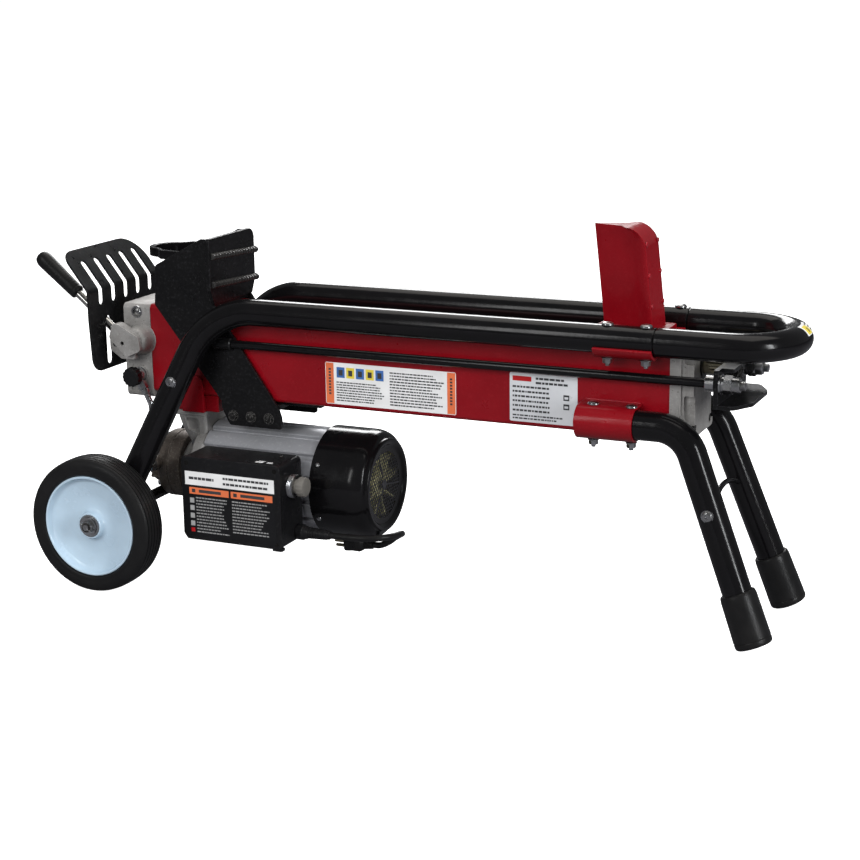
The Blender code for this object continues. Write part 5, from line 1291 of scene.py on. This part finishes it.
def add_knob_and_pipe():
    rings = []
    count = 112
    for y, grow in ((-65.5, -1.6), (-66.2, -0.4), (-67.6, 0), (-76, 0), (-77.4, -0.6), (-78, -2)):
        ring = []
        for i in range(count):
            a = 2 * math.pi * i / count
            r = 13.4 + grow + 0.6 * math.cos(14 * a)
            ring.append(Vector((KNOB_X + r * math.cos(a), y, KNOB_Z + r * math.sin(a))))
        rings.append(ring)
    skin("bleed_knob", lofted(rings), "black_plastic", "knob")
    collar = bar("Y", -66.2, -62.5, 8.5, (KNOB_X, 0, KNOB_Z), 36, 0.6)
    piece("knob_collar", collar, "zinc", "knob")
    corners = [Vector((KNOB_X + 2, -56.5, KNOB_Z - 6)), Vector((12, -56.5, 231)), Vector((20, -66, 175)),
        Vector((8, -79, 143)), Vector((8, -62, 143))]
    tube = pipe(filleted(corners, [20, 15, 9], 5), 4.2, 0, 28)
    banjo = turned([(-62, 0), (-62, 7.2), (-60.6, 7.2), (-60.4, 9.2), (-59.6, 9.8), (-53, 9.8), (-52.2, 9.2),
        (-52, 10.4), (-50.8, 10.4), (-50.8, 0)], "Y", (KNOB_X, 0, KNOB_Z), 44)
    union = joined(hex_nut("Y", -68, -60, 9, (8, 0, 143), 0.2),
        turned([(-60.2, 0), (-60.2, 7.8), (-56.3, 8.8), (-56.3, 0)], "Y", (8, 0, 143), 36))
    first, second = corners[0], corners[1]
    way = (second - first).normalized()
    ferrule = pipe([first + way * 4, first + way * 4.4, first + way * 15, first + way * 15.4],
        [6, 7.2, 7.2, 6], 0, 6)
    sleeve = pipe([first + way * 15, first + way * 15.6, first + way * 22.5, first + way * 23.2],
        [5.2, 5.8, 5.8, 4.8], 0, 28)
    skin("oil_pipe", joined(tube, banjo, union, ferrule, sleeve), "zinc")


# ---------------------------------------------------------------- labels
def flat_boxes(boxes, y, thick=0.12):
    """Thin plates on a face that looks along -Y; each box is x0, x1, z0, z1."""
    bm = bmesh.new()
    for x0, x1, z0, z1 in boxes:
        low, high = ([bm.verts.new(Vector((x, at, z)) * MM) for x, z in rect((x0, x1), (z0, z1))] for at
            in (y, y - thick))
        bm.faces.new(low)
        bm.faces.new(high[::-1])
        for i in range(4):
            j = (i + 1) % 4
            bm.faces.new((low[i], high[i], high[j], low[j]))
    return finish_mesh(bm)


def text_rows(x0, x1, z0, z1, rows, draw, fill=0.46, words=(1.6, 5.6), gap=1):
    """Rows of short blocks that read as print from afar and spell nothing."""
    boxes = []
    pitch = (z1 - z0) / rows
    for r in range(rows):
        z = z1 - (r + 0.5) * pitch
        x = x0
        end = x0 + (x1 - x0) * draw.uniform(0.72, 1)
        while x < end - 1:
            width = min(draw.uniform(*words), end - x)
            boxes.append((x, x + width, z - pitch * fill / 2, z + pitch * fill / 2))
            x += width + gap
    return boxes


def label_plate(x0, x1, z0, z1, y, corner, thick=0.25):
    outline = [(z, x) for x, z in rounded([(x0, z0), (x1, z0), (x1, z1), (x0, z1)], [corner] * 4, 4)]
    return prism(outline, "Y", y - thick, y)


def add_labels():
    draw = random.Random(11)
    y = -45.1
    face = y - 0.25
    x0, x1, z0, z1 = 284, 476, 254.5, 312
    piece("beam_label", label_plate(x0, x1, z0, z1, y, 2), "label_white")
    ends = [(x0 + 0.8, x0 + 12.5, z0 + 0.8, z1 - 0.8), (x1 - 12.5, x1 - 0.8, z0 + 0.8, z1 - 0.8)]
    piece("beam_label_bands", flat_boxes(ends, face), "label_orange")
    marks = []
    for side_x in (x0 + 5, x1 - 8.4):
        for k in range(9):
            z = z0 + 13 + 4.2 * k
            marks.append((side_x, side_x + 3.4, z, z + 2.6))
    marks += text_rows(x0 + 16.5, x0 + 88, z0 + 4, z1 - 25, 8, draw)
    marks += text_rows(x0 + 96, x1 - 16.5, z0 + 4, z1 - 6, 12, draw)
    piece("beam_label_print", flat_boxes(marks, face - 0.12), "print_dark")
    icons = [(x0 + 17 + 14.5 * k, x0 + 29 + 14.5 * k, z1 - 20.5, z1 - 6) for k in range(5)]
    piece("beam_label_icons", flat_boxes(icons[1::2], face), "label_yellow")
    piece("beam_label_icons_blue", flat_boxes(icons[0::2], face), "print_blue")
    dots = [(a + 3, b - 3, c + 3, d - 3.6) for a, b, c, d in icons]
    piece("beam_label_figures", flat_boxes(dots, face - 0.12), "print_dark")

    x0, x1, z0, z1 = 552, 645, 254.5, 319
    piece("rating_label", label_plate(x0, x1, z0, z1, y, 2), "label_silver")
    piece("rating_label_block", flat_boxes([(x0 + 4, x0 + 30, z1 - 10.5, z1 - 4)], face), "label_red")
    rows = text_rows(x0 + 36, x1 - 6, z1 - 14.5, z1 - 3, 2, draw, 0.5, (3, 8))
    rows += text_rows(x0 + 4, x0 + 62, z0 + 12, z1 - 15, 6, draw, 0.42)
    rows += text_rows(x0 + 4, x1 - 4, z0 + 2.5, z0 + 10.5, 2, draw, 0.5)
    rows += [(x1 - 19, x1 - 11, z, z + 7.5) for z in (z1 - 32, z1 - 44)]
    piece("rating_label_print", flat_boxes(rows, face), "print_dark")
    pale = [(x1 - 17.5, x1 - 12.5, z, z + 3) for z in (z1 - 30, z1 - 42)]
    piece("rating_label_icons", flat_boxes(pale, face - 0.12), "label_silver")
    add_box_label(draw)


def add_box_label(draw):
    y = BOX_Y[0] - 0.05
    face = y - 0.2
    x0, x1 = 113, 252.5
    piece("box_label", label_plate(x0, x1, 76.5, 168, y, 1.5, 0.2), "label_black")
    piece("box_label_strip", flat_boxes([(x0 + 1, x1 - 1, 147.8, 166.8)], face), "label_white")
    words = text_rows(x0 + 7, x0 + 52, 154.5, 160.5, 1, draw, 0.62, (4, 10))
    words += text_rows(x0 + 60, x1 - 8, 150, 165, 2, draw, 0.42, (3, 8))
    middle = x0 + 70
    bands = [(x0 + 7, middle - 1.6, 135.2, 144.5), (middle + 1.6, x1 - 4, 135.2, 144.5)]
    piece("box_label_bands", flat_boxes(bands, face), "label_orange")
    words += [(a + 15, b - 12, 137.8, 142) for a, b, _, _ in bands]
    words += [(a + 4, a + 9.5, 137.4, 142.4) for a, b, _, _ in bands]
    piece("box_label_words", flat_boxes(words, face - 0.12), "print_dark")
    rows = text_rows(x0 + 17, middle - 3, 80, 132.5, 12, draw, 0.36)
    rows += text_rows(middle + 3, x1 - 6, 85, 132.5, 11, draw, 0.36)
    rows += [(x0 + 7.5, x0 + 14, z, z + 7) for z in (122.5, 112, 101, 90)]
    piece("box_label_print", flat_boxes(rows, face), "print_pale")
    piece("box_label_dot", flat_boxes([(x0 + 7.8, x0 + 13.6, 81.5, 87)], face), "label_red")
    marks = [(218, 229, -130, -125.5), (221, 230, -123.5, -121.5), (235, 244, -129.5, -128),
        (235, 243, -126, -124.5)]
    bm = bmesh.new()
    for a, b, c, d in marks:
        bmesh.ops.create_cube(bm, size=1, matrix=shift((a + b) / 2, (c + d) / 2, BOX_Z[1] - 0.6)
            @ Matrix.Diagonal(((b - a) * MM, (d - c) * MM, 0.3 * MM, 1)))
    piece("box_top_marks", finish_mesh(bm), "label_white")


# ---------------------------------------------------------------- CAD nodes that stay
def dress_inner_nodes():
    kept = {"cylinder_tube": "machined", "piston": "machined", "stator": "winding", "valve_spool": "machined",
        "motor_rotor": "machined", "pump_drive_gear": "machined", "pump_driven_gear": "machined"}
    for name, look_name in kept.items():
        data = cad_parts[name].data
        data.materials.clear()
        data.materials.append(LOOKS[look_name])


# ---------------------------------------------------------------- studio
def seen_or_not(tree, end, hidden, seen):
    """Show the camera one shader and every other ray another."""
    ray = node(tree, "LightPath").outputs["Is Camera Ray"]
    blend = node(tree, "MixShader", [(0, ray), (1, hidden.outputs[0]), (2, seen.outputs[0])])
    tree.links.new(blend.outputs[0], tree.nodes[end].inputs["Surface"])


def add_studio():
    ground = bmesh.new()
    bmesh.ops.create_circle(ground, cap_ends=True, segments=96, radius=60)
    mesh = finish_mesh(ground, "studio_floor")
    floor = linked("studio_floor", mesh)
    material = bpy.data.materials.new("studio_white")
    material.use_nodes = True
    tree = material.node_tree
    shader = tree.nodes["Principled BSDF"]
    settings(shader, Base_Color=(0.90, 0.90, 0.90, 1), Roughness=0.95, Specular_IOR_Level=0.02,
        Emission_Color=(1, 1, 1, 1), Emission_Strength=0.93)
    seen_or_not(tree, "Material Output", node(tree, "BsdfDiffuse", Color=(0.12, 0.12, 0.13, 1)), shader)
    mesh.materials.append(material)
    world = bpy.data.worlds.new("studio_air")
    bpy.context.scene.world = world
    world.use_nodes = True
    tree = world.node_tree
    dusk = tree.nodes["Background"]
    settings(dusk, Color=(0.95, 0.97, 1, 1), Strength=0.13)
    seen_or_not(tree, "World Output", dusk, node(tree, "Background", Color=(1, 1, 1, 1)))
    add_lights()
    bpy.context.scene.view_settings.view_transform = "Standard"


def add_lights():
    """Narrow lamps that shine back off the paint, and broad fills that only light it."""
    lights = (("overhead", (0.10, 0.35, 2.40), (0, 0.05, 0.3), (3, 1.5), 17, (1, 0.955, 0.90), True),
        ("overhead_fill", (0.10, 0.10, 2.60), (0, 0, 0.3), (3, 2), 40, (1, 0.99, 0.98), False),
        ("key", (-1.10, -3.20, 1.80), (0, 0, 0.25), (0.45, 1.6), 10, (1, 1, 1), True),
        ("key_fill", (-0.50, -3.30, 1.70), (0, 0, 0.25), (2.6, 1.9), 116, (1, 1, 1), False),
        ("side", (3.00, -1.20, 1.10), (0.2, 0, 0.25), (0.4, 1.4), 24, (0.96, 0.98, 1), True),
        ("side_fill", (3.00, -0.90, 1.10), (0.2, 0, 0.25), (1.4, 1.4), 78, (0.97, 0.985, 1), False),
        ("back", (-1.20, 2.80, 2.10), (0, 0, 0.25), (1.8, 1.2), 60, (1, 1, 1), True),)
    for name, place, target, size, power, tint, shines in lights:
        data = bpy.data.lights.new(name, "AREA")
        data.shape = "RECTANGLE"
        data.size, data.size_y = size
        data.energy = power
        data.color = tint
        lamp = linked(name, data)
        lamp.location = place
        lamp.rotation_mode = "QUATERNION"
        lamp.rotation_quaternion = (Vector(target) - Vector(place)).to_track_quat("-Z", "Y")
        lamp.visible_glossy = shines


# ---------------------------------------------------------------- everything
add_camera()
make_looks()
add_cord()
add_beam()
add_wedge()
add_valve_cover()
add_end_cover()
add_rails()
add_handle()
add_cradles_and_saddles()
add_front_legs()
add_wheels()
add_axle()
add_ram()
add_pump()
add_motor()
add_switch_box()
add_guard()
add_lever()
add_knob_and_pipe()
add_labels()
dress_inner_nodes()
add_studio()
